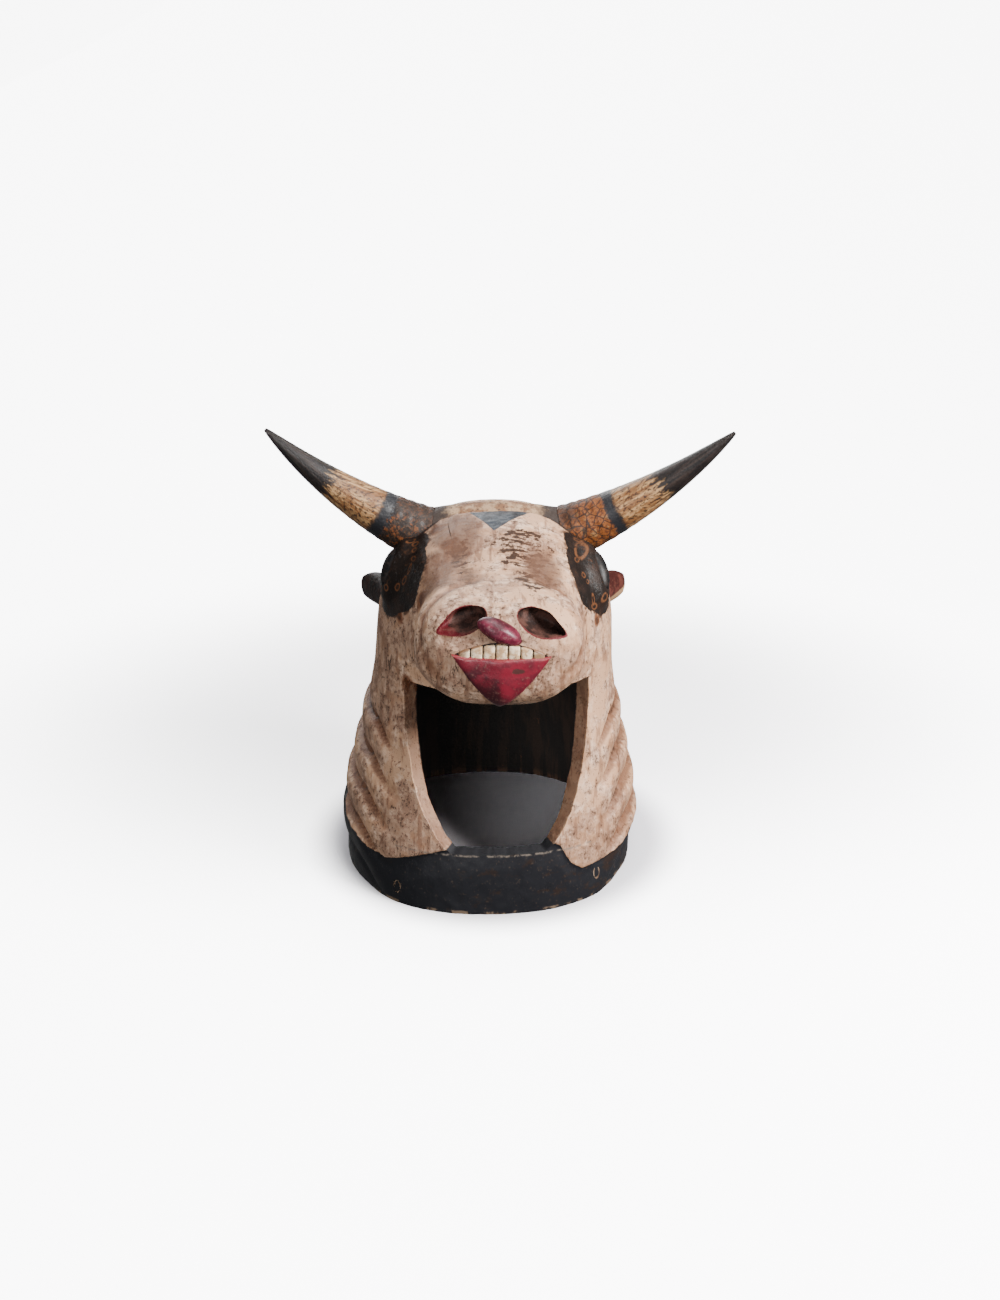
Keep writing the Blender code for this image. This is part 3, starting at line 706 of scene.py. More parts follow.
def lower_lip(finish):
    """The lower lip, a rounded triangle that points down."""
    across = np.linspace(-1.0, 1.0, 60)
    top = [(LIP_HALF_WIDTH * u, LIP_TOP - LIP_DIP * (1.0 - abs(u))) for u in across]
    depth = LIP_TOP - LIP_TIP
    bottom = [(LIP_HALF_WIDTH * u, LIP_TIP + depth * abs(u) ** LIP_CURVE) for u in across[::-1][1:-1]]
    outline = np.array(top + bottom)
    wobble = np.concatenate([outline, outline[:, :1] * 0.0], axis=1)
    outline[:, 1] += 0.0006 * rough(wobble, 110.0)
    return relief("lower_lip", outline, rounded(5.0, 14), LIP_PROUD, finish, LIP_RIDGE)


def tooth(index, finish):
    """One tooth of the row, which is lower towards the corners of the mouth."""
    width = TOOTH_ROW / TOOTH_COUNT
    middle = (index - (TOOTH_COUNT - 1) / 2.0) * width
    half = (width - TOOTH_SLIT * 0.8) / 2.0
    low = LIP_TOP - TOOTH_ROOT
    edge = np.linspace(-1.0, 1.0, 9)
    uneven = 0.0006 * math.sin(index * 2.4)
    lower_side = [(middle + half * u, low) for u in edge]
    upper_side = []
    for u in edge[::-1]:
        x = middle + half * u
        arch = TOOTH_HEIGHT * (1.0 - (2.0 * x / (TOOTH_ROW + width)) ** 2)
        upper_side.append((x, LIP_TOP + arch + uneven - 0.0010 * u**4))
    return relief(f"tooth_{index}", lower_side + upper_side, rounded(3.0, 8), TOOTH_PROUD, finish)


def face_axes(tilt):
    """Directions along a feature on the face, into the face, and across the feature."""
    along = Vector((math.cos(tilt), 0.0, math.sin(tilt)))
    into = Vector((0.0, 1.0, 0.0))
    return along, into, along.cross(into)


def nostril_middle(side):
    """The middle of a nostril's pit, a little under the muzzle's surface."""
    place = front_face(np.array([side * NOSTRIL_OFFSET]), np.array([NOSTRIL_HEIGHT]))[0]
    return Vector(place) + Vector((0.0, NOSTRIL_INSET, 0.0))


def nostril(side, finish):
    """A nostril's pit, drawn out to a point at its lower, outer end."""

    def shape(unit):
        outer = ease(side * unit[..., 0])
        unit = unit * (1.0 + 0.05 * rough(unit, 2.1, 3.0 * side)[..., None])
        unit[..., 2] *= 1.0 - NOSTRIL_PINCH * outer
        return unit

    axes = face_axes(-side * NOSTRIL_TILT)
    return blob("nostril", nostril_middle(side), axes, NOSTRIL_SIZE, finish, shape)


def tongue(finish):
    """The tongue, which licks up into the nostril on the left."""

    def shape(unit):
        lean = 0.12 * unit[..., 0:1] * np.array([0.0, 0.0, 1.0])
        return unit * (1.0 + 0.06 * rough(unit, 1.6, 9.0)[..., None]) - lean

    place = Vector(front_face(np.array([TONGUE_OFFSET]), np.array([TONGUE_HEIGHT]))[0])
    place += Vector((0.0, TONGUE_INSET, 0.0))
    return blob("tongue", place, face_axes(-TONGUE_TILT), TONGUE_SIZE, finish, shape)


def eye_form(name, side, margin, finish):
    """An eye's ellipsoid, larger on every side by a margin."""
    place, axes = eye_frame(side)
    sizes = (EYE_LENGTH / 2 + margin, EYE_HEIGHT / 2 + margin, LID_BULGE + EYE_PROUD + margin)
    return blob(name, Vector(place), axes, sizes, finish)


def snapped(points):
    """Points moved onto the carving's surface, along lines from the head's core."""
    ways = points - HEAD_CORE
    ways /= np.linalg.norm(ways, axis=-1, keepdims=True)
    return reach(HEAD_CORE, ways, carving)


def crack(name, start, end, width, depth, finish):
    """A narrow split that opens and closes again along its length, ready to be cut out."""
    shares = np.linspace(0.0, 1.0, 25)
    line = np.array(start) + np.outer(shares, np.array(end) - np.array(start))
    line += 0.0012 * np.stack([rough(line, 60.0, seed) for seed in (1.0, 4.0, 8.0)], axis=-1)
    line = snapped(line)
    facing = outward(line, carving)
    heading = np.gradient(line, axis=0)
    across = np.cross(facing, heading)
    across /= np.linalg.norm(across, axis=-1, keepdims=True)
    open_share = np.sqrt(np.sin(math.pi * (0.03 + 0.94 * shares)))[:, None]
    rings = []
    for way_out, way_across in ((1.0, 0.0), (0.0, 1.0), (-1.0, 0.0), (0.0, -1.0)):
        rings.append(line + facing * depth * way_out + across * width / 2 * open_share * way_across)
    rings = np.array(rings).transpose(1, 0, 2)
    return ring_solid(name, rings, line[-1], finish)


def tie_hole(name, place, finish):
    """The worn mark of a tie-hole in the foot band: a narrow loop, pressed into the wood."""
    axis = np.array([0.0, 0.0, place[2]])
    way = np.array([place[0], place[1], 0.0])
    way /= np.linalg.norm(way)
    surface = reach(axis, way[None, :], carving)[0] - way * 0.0012
    across = np.array([-way[1], way[0], 0.0])
    rings = []
    for turn in np.linspace(0.0, 2.0 * math.pi, 40, endpoint=False):
        middle = surface + across * 0.0040 * math.cos(turn) + np.array([0, 0, 0.0068]) * math.sin(turn)
        out = across * math.cos(turn) + np.array([0.0, 0.0, math.sin(turn)])
        tilts = np.linspace(0.0, 2.0 * math.pi, 8, endpoint=False)
        radius = 0.0009 * (1.0 + 0.35 * math.sin(3.0 * turn))
        rings.append([middle + radius * (out * math.cos(t) + way * 1.5 * math.sin(t)) for t in tilts])
    return ring_loop(name, rings, finish)


def ring_loop(name, rings, finish):
    """A closed mesh of rings whose last joins the first."""
    rings = np.array(rings)
    rows, columns = rings.shape[:2]
    index = np.arange(rows * columns).reshape(rows, columns)
    following = np.roll(index, -1, 0)
    around = (index, np.roll(index, -1, 1), np.roll(following, -1, 1), following)
    faces = np.stack(around, axis=-1).reshape(-1, 4).tolist()
    made = mesh_object(name, rings.reshape(-1, 3).tolist(), faces, finish)
    edit_mesh(made, lambda edit: bmesh.ops.recalc_face_normals(edit, faces=edit.faces))
    return made


def patch_place(points, side):
    """A point's place in an eye's black patch: forwards along it, up across it, and inside its edge."""
    place = on_head(PATCH_BEARING, EYE_RISE, side)
    along, across, facing = side_axes(place, side, PATCH_SLANT)
    local = points - place
    forward = local @ np.array(along)
    lift = -side * (local @ np.array(across))
    turn = np.degrees(np.arctan2(lift, forward - PATCH_CENTRE))
    edge = np.interp(turn, PATCH_TURNS, PATCH_REACHES)
    inside = edge - np.hypot(forward - PATCH_CENTRE, lift)
    inside = np.where(np.abs(local @ np.array(facing)) < 0.05, inside, -0.05)
    return forward, lift, inside


def horn_line(side, count):
    """Points along a horn's middle and its radius at each, from root to tip."""
    root, tip, below = horn_ends(side)
    shares = np.linspace(0.0, 1.0, count)
    sags = HORN_SAG * 4 * shares * (1 - shares)
    line = np.array([root.lerp(tip, share) + below * sag for share, sag in zip(shares, sags)])
    return line, HORN_TIP_RADIUS + (HORN_ROOT_RADIUS - HORN_TIP_RADIUS) * (1.0 - shares) ** HORN_TAPER


def horn_ends(side):
    """A horn's root and tip, and the direction in which it sags between them."""
    root = Vector((side * HORN_ROOT_OFFSET, HORN_DEPTH, HORN_ROOT_HEIGHT))
    tip = Vector((side * HORN_TIP_OFFSET, HORN_DEPTH - HORN_TIP_FORWARD, HORN_TIP_HEIGHT))
    tip += Vector((HORN_TIP_LEAN, 0.0, -0.5 * side * HORN_TIP_LEAN))
    return root, tip, Vector((0.0, side, 0.0)).cross(tip - root).normalized()


def seat_distance(points):
    """How far a point is from the nearer horn's surface."""
    nearest = np.full(len(points), 0.2)
    high = points[:, 2] > 0.30
    for side in (-1, 1):
        line, radii = horn_line(side, 24)
        for place, radius in zip(line[:12], radii[:12]):
            gap = np.linalg.norm(points[high] - place, axis=-1) - radius
            nearest[high] = np.minimum(nearest[high], gap)
    return nearest


# Where stains have gathered, each with its reach: jaw corners, below the eyes, and the brow. At the jaw
# corners, under the muzzle, they are stain and painted shade.
STAINS_AND_SHADE = (
    ((-0.095, -0.116, 0.238), 0.011), ((-0.086, -0.128, 0.228), 0.009), ((0.086, -0.122, 0.235), 0.007),
    ((-0.079, -0.130, 0.335), 0.014), ((0.104, -0.090, 0.298), 0.007), ((-0.100, -0.095, 0.303), 0.009),
    ((-0.062, -0.040, 0.384), 0.012), ((-0.052, -0.078, 0.378), 0.010), ((-0.085, -0.105, 0.180), 0.012),
)
# Worn, smeared and browned places on the brow: the middle of each, its reach across and its reach along. The
# smears lie in the hollows left of the nose ridge: smear and painted shade.
SCRATCHES = ((0.026, -0.090, 0.026, 0.034), (0.036, -0.152, 0.020, 0.026), (-0.040, -0.100, 0.010, 0.030))
SMEARS_AND_SHADE = ((-0.041, -0.098, 0.011, 0.024), (-0.031, -0.140, 0.009, 0.026))
BLUSHES = ((-0.042, -0.060, 0.034, 0.056), (-0.060, -0.120, 0.026, 0.056), (0.045, -0.120, 0.024, 0.046))

# Drying cracks, each as its ends, its width and its depth
CRACKS = (
    ((-0.051, -0.025, 0.390), (-0.042, -0.106, 0.372), 0.0011, 0.0014),
    ((-0.062, -0.088, 0.371), (-0.067, -0.113, 0.360), 0.0009, 0.0012),
    ((-0.069, -0.198, 0.352), (-0.068, -0.226, 0.339), 0.0011, 0.0016),
    ((-0.112, -0.090, 0.262), (-0.116, -0.087, 0.238), 0.0022, 0.0030),
    ((0.030, 0.130, 0.330), (0.036, 0.165, 0.215), 0.0014, 0.0025),
    ((0.085, 0.120, 0.120), (0.080, 0.150, 0.020), 0.0014, 0.0025),
)
TIE_HOLES = ((-0.109, -0.153, 0.019), (0.108, -0.143, 0.026), (-0.06, 0.17, 0.022), (0.07, 0.165, 0.022))


def stain_and_shade_depth(points):
    """1 in the middle of a stain, fading round it; under the muzzle it is stain and painted shade."""
    depth = np.zeros(len(points))
    for place, size in STAINS_AND_SHADE:
        depth = np.maximum(depth, np.exp(-np.sum((points - np.array(place)) ** 2, axis=-1) / size**2))
    return depth


def brow_marks(points, places):
    """1 in the middle of each of these places on the brow, fading round them."""
    depth = np.zeros(len(points))
    for x, y, wide, long in places:
        gap = ((points[:, 0] - x) / wide) ** 2 + ((points[:, 1] - y) / long) ** 2
        depth = np.maximum(depth, np.exp(-gap) * (points[:, 2] > 0.33))
    return depth


def mark_carving(piece):
    """Stores on the carving where each paint, stain and shadow lies."""
    points = points_of(piece)
    give(piece, "above_band", paint_edge(points))
    # The lines behind the muzzle and the hollows beside the nose are darkened like the creases: dirt and
    # painted shade.
    dirt_and_shade = 0.75 * muzzle_line(points) + 90.0 * hollow_depth(points)
    give(piece, "crease", np.clip(crease_depth(points) + dirt_and_shade, 0.0, 1.0))
    give(piece, "depth", -carving(points))
    left, right = patch_place(points, -1), patch_place(points, 1)
    on_right = points[:, 0] > 0.0
    for name, one, other in zip(("patch_forward", "patch_lift", "patch_inside"), left, right):
        give(piece, name, np.where(on_right, other, one))
    give(piece, "seat", seat_distance(points))
    give(piece, "stain_and_shade", stain_and_shade_depth(points))
    give(piece, "scratched", brow_marks(points, SCRATCHES))
    give(piece, "smear_and_shade", brow_marks(points, SMEARS_AND_SHADE))
    give(piece, "blush", brow_marks(points, BLUSHES))
    across, height = face_place(points)
    give(piece, "face_across", across)
    give(piece, "face_height", height)


def mask_carving():
    """The whole carving: the log with everything cut from it and left standing on it."""
    carved = carved_log(FINISHES["painted_wood"])
    dark = FINISHES["sooty_wood"]
    cut(carved, hollow(dark))
    cut(carved, opening(FINISHES["cut_wood"]))
    for side in (-1, 1):
        cut(carved, nostril(side, FINISHES["nostril_paint"]))
    for index in range(TOOTH_COUNT):
        cut(carved, tooth(index, FINISHES["tooth_paint"]), "UNION")
    cut(carved, lower_lip(FINISHES["lip_paint"]), "UNION")
    cut(carved, tongue(FINISHES["lip_paint"]), "UNION")
    for side in (-1, 1):
        cut(carved, horn_tool(side))
        cut(carved, ear("ear_seat", side, dark, EAR_PLAY))
        cut(carved, eye_form("eye_seat", side, GAP, dark))
    cut(carved, bone("bone_seat", dark, GAP))
    for index, (start, end, width, depth) in enumerate(CRACKS):
        cut(carved, crack(f"crack_{index}", start, end, width, depth, dark))
    for place in TIE_HOLES:
        cut(carved, tie_hole("tie_hole", place, FINISHES["bare_wood"]))
    mark_carving(carved)
    finish_piece(carved, "helmet")


# The horns, bone, ears and eyes

class Sheet:
    """A tree of nodes under construction."""

    prefix = ""

    def __init__(self, tree):
        self.tree = tree

    def node(self, kind, settings=None, values=(), output=0):
        """Adds a node with its settings, then the values or links of its sockets."""
        made = self.tree.nodes.new(self.prefix + kind)
        for name, value in (settings or {}).items():
            setattr(made, name, value)
        pairs = values.items() if isinstance(values, dict) else enumerate(values)
        for name, value in pairs:
            socket = made.inputs[name]
            if isinstance(value, Wire):
                self.tree.links.new(value.socket, socket)
            elif value is not None:
                socket.default_value = value
        return Wire(self, made.outputs[output]) if made.outputs else made

    def maths(self, operation, *values):
        """A Math node."""
        kind = "Math" if self.prefix == "ShaderNode" else "ShaderNodeMath"
        return self.node(kind, {"operation": operation}, values)


class Wire:
    """A socket's value in an expression: each operation adds the Math node that works it out."""

    def __init__(self, sheet, socket):
        self.sheet = sheet
        self.socket = socket

    def __add__(self, other):
        return self.sheet.maths("ADD", self, other)

    def __sub__(self, other):
        return self.sheet.maths("SUBTRACT", self, other)

    def __rsub__(self, other):
        return self.sheet.maths("SUBTRACT", other, self)

    def __mul__(self, other):
        return self.sheet.maths("MULTIPLY", self, other)

    def __truediv__(self, other):
        return self.sheet.maths("DIVIDE", self, other)

    def __abs__(self):
        return self.sheet.maths("ABSOLUTE", self)

    def __pow__(self, other):
        return self.sheet.maths("POWER", self, other)

    __radd__ = __add__
    __rmul__ = __mul__


class Shape(Sheet):
    """A tree of Geometry Nodes with named inputs."""

    def __init__(self, name):
        super().__init__(bpy.data.node_groups.new(name, "GeometryNodeTree"))
        self.tree.interface.new_socket("Geometry", in_out="OUTPUT", socket_type="NodeSocketGeometry")
        self.sockets = {}
        self.entry = self.tree.nodes.new("NodeGroupInput")

    def ask(self, name, kind="Float"):
        """Adds a named input and returns it."""
        made = self.tree.interface.new_socket(name, in_out="INPUT", socket_type="NodeSocket" + kind)
        self.sockets[name] = made.identifier
        return Wire(self, self.entry.outputs[name])

    def end(self, geometry, finish):
        """Realizes what was made, gives it its finish and joins it to the output."""
        realized = self.node("GeometryNodeRealizeInstances", {}, [geometry])
        painted = self.node("GeometryNodeSetMaterial", {}, {"Geometry": realized, "Material": finish})
        out = self.tree.nodes.new("NodeGroupOutput")
        self.tree.links.new(painted.socket, out.inputs[0])

    def run(self, name, values):
        """A plain mesh object made by the tree with these inputs."""
        carrier = mesh_object(name, [], [])
        modifier = carrier.modifiers.new("shape", "NODES")
        modifier.node_group = self.tree
        for key, value in values.items():
            modifier[self.sockets[key]] = value
        settle(carrier)
        return carrier


def horn_shape():
    """A horn: a tapering tube round a curve, ridged across near its root and finely grooved along it."""
    sheet = Shape("horn")
    root, tip = sheet.ask("Root", "Vector"), sheet.ask("Tip", "Vector")
    middle = sheet.ask("Middle", "Vector")
    root_radius, tip_radius = sheet.ask("Root Radius"), sheet.ask("Tip Radius")
    ridges, grooves = sheet.ask("Ridge Depth"), sheet.ask("Groove Depth")
    seed = sheet.ask("Seed")
    finish = sheet.ask("Finish", "Material")
    line = sheet.node("GeometryNodeCurveQuadraticBezier", {}, [HORN_STATIONS, root, middle, tip])
    share = sheet.node("GeometryNodeSplineParameter", {}, [])
    radius = tip_radius + (root_radius - tip_radius) * (1.0 - share) ** HORN_TAPER
    line = sheet.node("GeometryNodeSetCurveRadius", {}, {"Curve": line, "Radius": radius})
    line = stored(sheet, line, "share", share)
    circle = {"Resolution": HORN_COLUMNS, "Radius": 1.0}
    girth = sheet.node("GeometryNodeCurvePrimitiveCircle", {"mode": "RADIUS"}, circle)
    place = sheet.node("GeometryNodeInputPosition")
    girth = stored(sheet, girth, "girth", place, "FLOAT_VECTOR")
    curves = {"Curve": line, "Profile Curve": girth, "Fill Caps": True}
    tube = sheet.node("GeometryNodeCurveToMesh", {}, curves)
    if "Scale" in sheet.tree.nodes[-1].inputs:
        sheet.tree.links.new(radius.socket, sheet.tree.nodes[-1].inputs["Scale"])
    along = named(sheet, "share", "FLOAT")
    round_place = named(sheet, "girth", "FLOAT_VECTOR")
    shift = sheet.node("ShaderNodeCombineXYZ", {}, [along * 7.0 + seed, seed, 0.0])
    grain_place = sheet.node(
        "ShaderNodeVectorMath", {"operation": "MULTIPLY_ADD"}, [round_place, (5.0, 5.0, 5.0), shift]
    )
    grain = sheet.node("ShaderNodeTexNoise", {}, {"Vector": grain_place, "Scale": 2.2, "Detail": 3.0})
    sway = sheet.node("ShaderNodeTexNoise", {}, {"Vector": place, "Scale": 26.0, "Detail": 2.0})
    waves = sheet.maths("SINE", along * 95.0 + sway * 9.0) * 0.5 + 0.5
    near_root = sheet.maths("MAXIMUM", 1.0 - along * 2.2, 0.0)
    depth = waves * near_root * ridges + grain * grooves
    facing = sheet.node("GeometryNodeInputNormal")
    offset = sheet.node("ShaderNodeVectorMath", {"operation": "SCALE"}, {0: facing, "Scale": depth * -1.0})
    tube = sheet.node("GeometryNodeSetPosition", {}, {"Geometry": tube, "Offset": offset})
    sheet.end(tube, finish)
    return sheet


def stored(sheet, geometry, name, value, kind="FLOAT"):
    """Stores a value on each point under a name."""
    settings = {"data_type": kind, "domain": "POINT"}
    values = {"Geometry": geometry, "Name": name, "Value": value}
    return sheet.node("GeometryNodeStoreNamedAttribute", settings, values)


def named(sheet, name, kind):
    """A stored value, read again."""
    return sheet.node("GeometryNodeInputNamedAttribute", {"data_type": kind}, {"Name": name})


def make_horn(sheet, name, side, grow, finish, ridge=0.0009, groove=0.0005):
    """Runs the horn's tree for one side, thicker by a margin where it is used to cut its seat."""
    root, tip, below = horn_ends(side)
    root = root - (tip - root).normalized() * grow
    values = {
        "Root": root,
        "Tip": tip,
        "Middle": (root + tip) / 2.0 + below * HORN_SAG * 2.0,
        "Root Radius": HORN_ROOT_RADIUS + grow,
        "Tip Radius": HORN_TIP_RADIUS + grow,
        "Ridge Depth": ridge,
        "Groove Depth": groove,
        "Seed": 3.0 * side,
        "Finish": finish,
    }
    made = sheet.run(name, values)

    def close(edit):
        bmesh.ops.remove_doubles(edit, verts=edit.verts, dist=0.00001)
        bmesh.ops.recalc_face_normals(edit, faces=edit.faces)

    edit_mesh(made, close)
    return made


def horn_tool(side):
    """A horn's seat, ready to be cut."""
    return make_horn(HORN_SHAPE, "horn_seat", side, GAP, FINISHES["sooty_wood"], 0.0, 0.0)


def horn(side):
    """One of the two horns."""
    node = f"horn_{side_name(side)}"
    piece = make_horn(HORN_SHAPE, f"cattle_{node}", side, 0.0, FINISHES[node])
    finish_piece(piece, node)


def bone(name, finish, grow=0.0):
    """The piece of skull between the horns: a rounded bar that rises to a peak in the middle."""
    shares = np.linspace(-1.0, 1.0, BONE_STATIONS)
    turns = np.linspace(0.0, 2.0 * math.pi, BONE_COLUMNS, endpoint=False)
    rings = []
    for share in shares:
        x = share * BONE_HALF_LENGTH * (1.0 + grow / HORN_ROOT_OFFSET)
        half_height = BONE_HALF_HEIGHT + grow
        top = BONE_PEAK - (BONE_PEAK - BONE_SHOULDER) * abs(share) ** BONE_CURVE
        half_depth = BONE_HALF_DEPTH * (1.0 - BONE_WAIST * (1.0 - share**2)) + grow
        y = HORN_DEPTH + half_depth * np.cos(turns)
        z = top + grow - half_height + half_height * np.sin(turns)
        rings.append(np.stack([np.full(BONE_COLUMNS, x), y, z], axis=-1))
    rings = np.array(rings)
    if not grow:
        middle = rings.mean(axis=1, keepdims=True)
        worn = 1.0 - 0.018 * (1.0 + rough(rings, 95.0)) - 0.035 * (1.0 + rough(rings, 30.0, 2.0))
        rings[1:-1] = (middle + (rings - middle) * worn[..., None])[1:-1]
    return ring_solid(name, rings, np.mean(rings[-1], axis=0), finish)


def poll_bone():
    """The piece of skull, cut away where the horns run through it."""
    piece = bone("skull_bone", FINISHES["skull_bone"])
    for side in (-1, 1):
        cut(piece, horn_tool(side))
    finish_piece(piece, "poll_bone")


def ear(name, side, finish, grow=0.0):
    """A leaf of stiff hide, cupped forwards, whose root goes into the head."""
    root = Vector(on_head(EAR_BEARING, EAR_RISE, side))
    heading = Vector((side * math.cos(EAR_SWEEP), math.sin(EAR_SWEEP), -EAR_DROOP)).normalized()
    up = Vector((0.0, 0.0, 1.0))
    cup = heading.cross(up).normalized() * side
    across = np.cos(np.linspace(math.pi, 0.0, EAR_COLUMNS))
    rings = []
    for share in np.linspace(0.0, 1.0, EAR_ROWS):
        along = -EAR_ROOT_DEPTH - grow + share * (EAR_LENGTH + EAR_ROOT_DEPTH + grow)
        half_width = EAR_WIDTH / 2.0 * (EAR_NECK + (1.0 - EAR_NECK) * ease(2.0 * share))
        rounding = max(share - EAR_ROUND_FROM, 0.0) / (1.02 - EAR_ROUND_FROM)
        half_width = half_width * math.sqrt(1.0 - rounding**2) + grow
        half_thickness = (EAR_THICKNESS / 2.0 + grow) * (1.0 if grow else 1.0 - 0.5 * share**6)
        ring = []
        for face in (1.0, -1.0):
            for u in across[:: int(face)][: EAR_COLUMNS - 1]:
                dip = EAR_CUP * u**2 * math.sin(math.pi * min(share * 1.1, 1.0))
                edge = 1.0 if grow else max(1.0 - abs(u) ** 5, 0.0) ** 0.5
                middle = root + heading * along + up * (half_width * u) - cup * dip
                ring.append(list(middle + cup * (face * half_thickness * max(edge, 0.05))))
        rings.append(ring)
    rings = np.array(rings)
    if not grow:
        rings += (0.0005 * rough(rings, 80.0, 4.0))[..., None] * np.array(list(cup))
    return ring_solid(name, rings, np.mean(rings[-1], axis=0), finish)


def side_name(side):
    """left for -1 and right for 1."""
    return "left" if side < 0 else "right"


# Finishes

class Finish(Sheet):
    """A material under construction."""

    prefix = "ShaderNode"

    def __init__(self, name):
        self.material = bpy.data.materials.new(name)
        self.material.use_nodes = True
        super().__init__(self.material.node_tree)
        self.tree.nodes.clear()
        self.place = self.node("TexCoord", output="Object")

    def read(self, name, output="Fac"):
        """A value stored on the piece's points."""
        return self.node("Attribute", {"attribute_name": name}, output=output)

    def along(self, axis):
        """How far along X, Y or Z a point lies, for axis 0, 1 or 2."""
        return self.node("SeparateXYZ", {}, [self.place], output=axis)

    def length(self, *parts):
        """The length of a way from its parts at right angles."""
        squares = [part * part for part in parts]
        return self.maths("SQRT", sum(squares[1:], squares[0]))

    def noise(self, scale, detail, roughness, place=None, stretch=None, turn=(0.0, 0.0, 0.0)):
        """Smooth noise round 0.5, in a place that may be turned and stretched."""
        place = place or self.place
        if stretch:
            place = self.node("Mapping", {}, {"Vector": place, "Rotation": turn, "Scale": stretch})
        values = {"Vector": place, "Scale": scale, "Detail": detail, "Roughness": roughness}
        return self.node("TexNoise", {}, values)

    def cell_edges(self, scale):
        """How far the nearest edge between the cells of a foam is."""
        values = {"Vector": self.place, "Scale": scale}
        return self.node("TexVoronoi", {"feature": "DISTANCE_TO_EDGE"}, values, output="Distance")

    def step(self, value, low, high):
        """0 below low and 1 above high, with a smooth rise between them."""
        settings = {"interpolation_type": "SMOOTHSTEP"}
        return self.node("MapRange", settings, {"Value": value, "From Min": low, "From Max": high})

    def mix(self, mask, under, over):
        """One colour laid over another where the mask is 1."""
        under, over = (c if isinstance(c, Wire) else (*c, 1.0) for c in (under, over))
        return self.node("Mix", {"data_type": "RGBA"}, {0: mask, 6: under, 7: over}, output=2)

    def larger(self, first, second):
        return self.maths("MAXIMUM", first, second)

    def smaller(self, first, second):
        return self.maths("MINIMUM", first, second)

    def surface(self, colour, roughness, height, relief, coat=0.0, specular=0.3, glow=None):
        """Ends the material with its colour, roughness and the height of its fine relief."""
        bump = self.node("Bump", {}, {"Strength": 1.0, "Distance": relief, "Height": height})
        colour = colour if isinstance(colour, Wire) else (*colour, 1.0)
        values = {"Base Color": colour, "Roughness": roughness, "Normal": bump, "Coat Weight": coat}
        values |= {"Coat Roughness": COAT_ROUGHNESS, "Specular IOR Level": specular}
        if glow:
            values |= {"Emission Color": glow, "Emission Strength": PAPER_GLOW}
        shader = self.node("BsdfPrincipled", {}, values)
        self.node("OutputMaterial", {}, {"Surface": shader})
        return self.material


# How strongly the studio's paper glows, and how rough the thin coats of varnish are
PAPER_GLOW = 7.5
COAT_ROUGHNESS = 0.2

# Old white paint and what lies on it
CREAM = (0.305, 0.182, 0.112)
CHALK = (0.480, 0.340, 0.250)
BEIGE = (0.195, 0.096, 0.049)
UMBER = (0.130, 0.062, 0.034)
PINK_BROWN = (0.086, 0.037, 0.020)
RUST = (0.075, 0.020, 0.004)
# Dark brown for dirt and specks, also used as painted shade in creases, hollows and under the muzzle.
DIRT_AND_SHADE = (0.0130, 0.0060, 0.0034)
FLAKED = (0.020, 0.0085, 0.0038)
SMEAR_AND_SHADE_BROWN = (0.030, 0.0145, 0.0085)
BLUSHED = (0.062, 0.029, 0.017)

# Black paint, soot and slate
BLACK = (0.0060, 0.0060, 0.0074)
CHARRED = (0.0048, 0.0031, 0.0025)
SOOT = (0.0100, 0.0052, 0.0036)
BAND_RUBBED = (0.0145, 0.0078, 0.0048)
BAND_SCUFFED = (0.042, 0.030, 0.022)
PATCH_EDGE = (0.031, 0.0135, 0.0070)
PATCH_RUBBED = (0.028, 0.0125, 0.0065)
MOUTH_BROWN = (0.0070, 0.0034, 0.0026)
SLATE = (0.0110, 0.0145, 0.0195)
DARK_SLATE = (0.0050, 0.0056, 0.0075)

# Bare and sooty wood
SILL_WOOD = (0.10, 0.082, 0.068)
RIM_WOOD = (0.10, 0.068, 0.046)
DARK_WOOD = (0.070, 0.040, 0.024)
PALE_WOOD = (0.17, 0.120, 0.083)
SOOTY_DARK = (0.0075, 0.0050, 0.0042)
SOOTY_PALE = (0.019, 0.0102, 0.0068)
SOOTY_SCUFF = (0.080, 0.034, 0.015)
SOOTY_RIM = (0.062, 0.032, 0.017)

# Red paint, and the nostrils
NOSTRIL_RED = (0.055, 0.0020, 0.0042)
ROSY_DARK = (0.045, 0.0040, 0.0060)
ROSY_PALE = (0.066, 0.0210, 0.0180)
PIT_DARK = (0.0100, 0.0050, 0.0040)
PIT_PALE = (0.046, 0.0200, 0.0150)
PIT_SHADE = (0.007, 0.004, 0.0035)
DARK_CRIMSON = (0.052, 0.0034, 0.0080)
DARK_PURPLE = (0.024, 0.0012, 0.0044)
PURPLE = (0.062, 0.0034, 0.0125)
PALE_PURPLE = (0.095, 0.030, 0.040)
LIP_SPECK = (0.110, 0.050, 0.040)
LIP_BARE = (0.020, 0.0120, 0.0095)
LIP_TOP_HIGHLIGHT = (0.125, 0.017, 0.018)
CRIMSON = (0.088, 0.0050, 0.0115)
LIP_SHADE = (0.017, 0.0012, 0.0030)

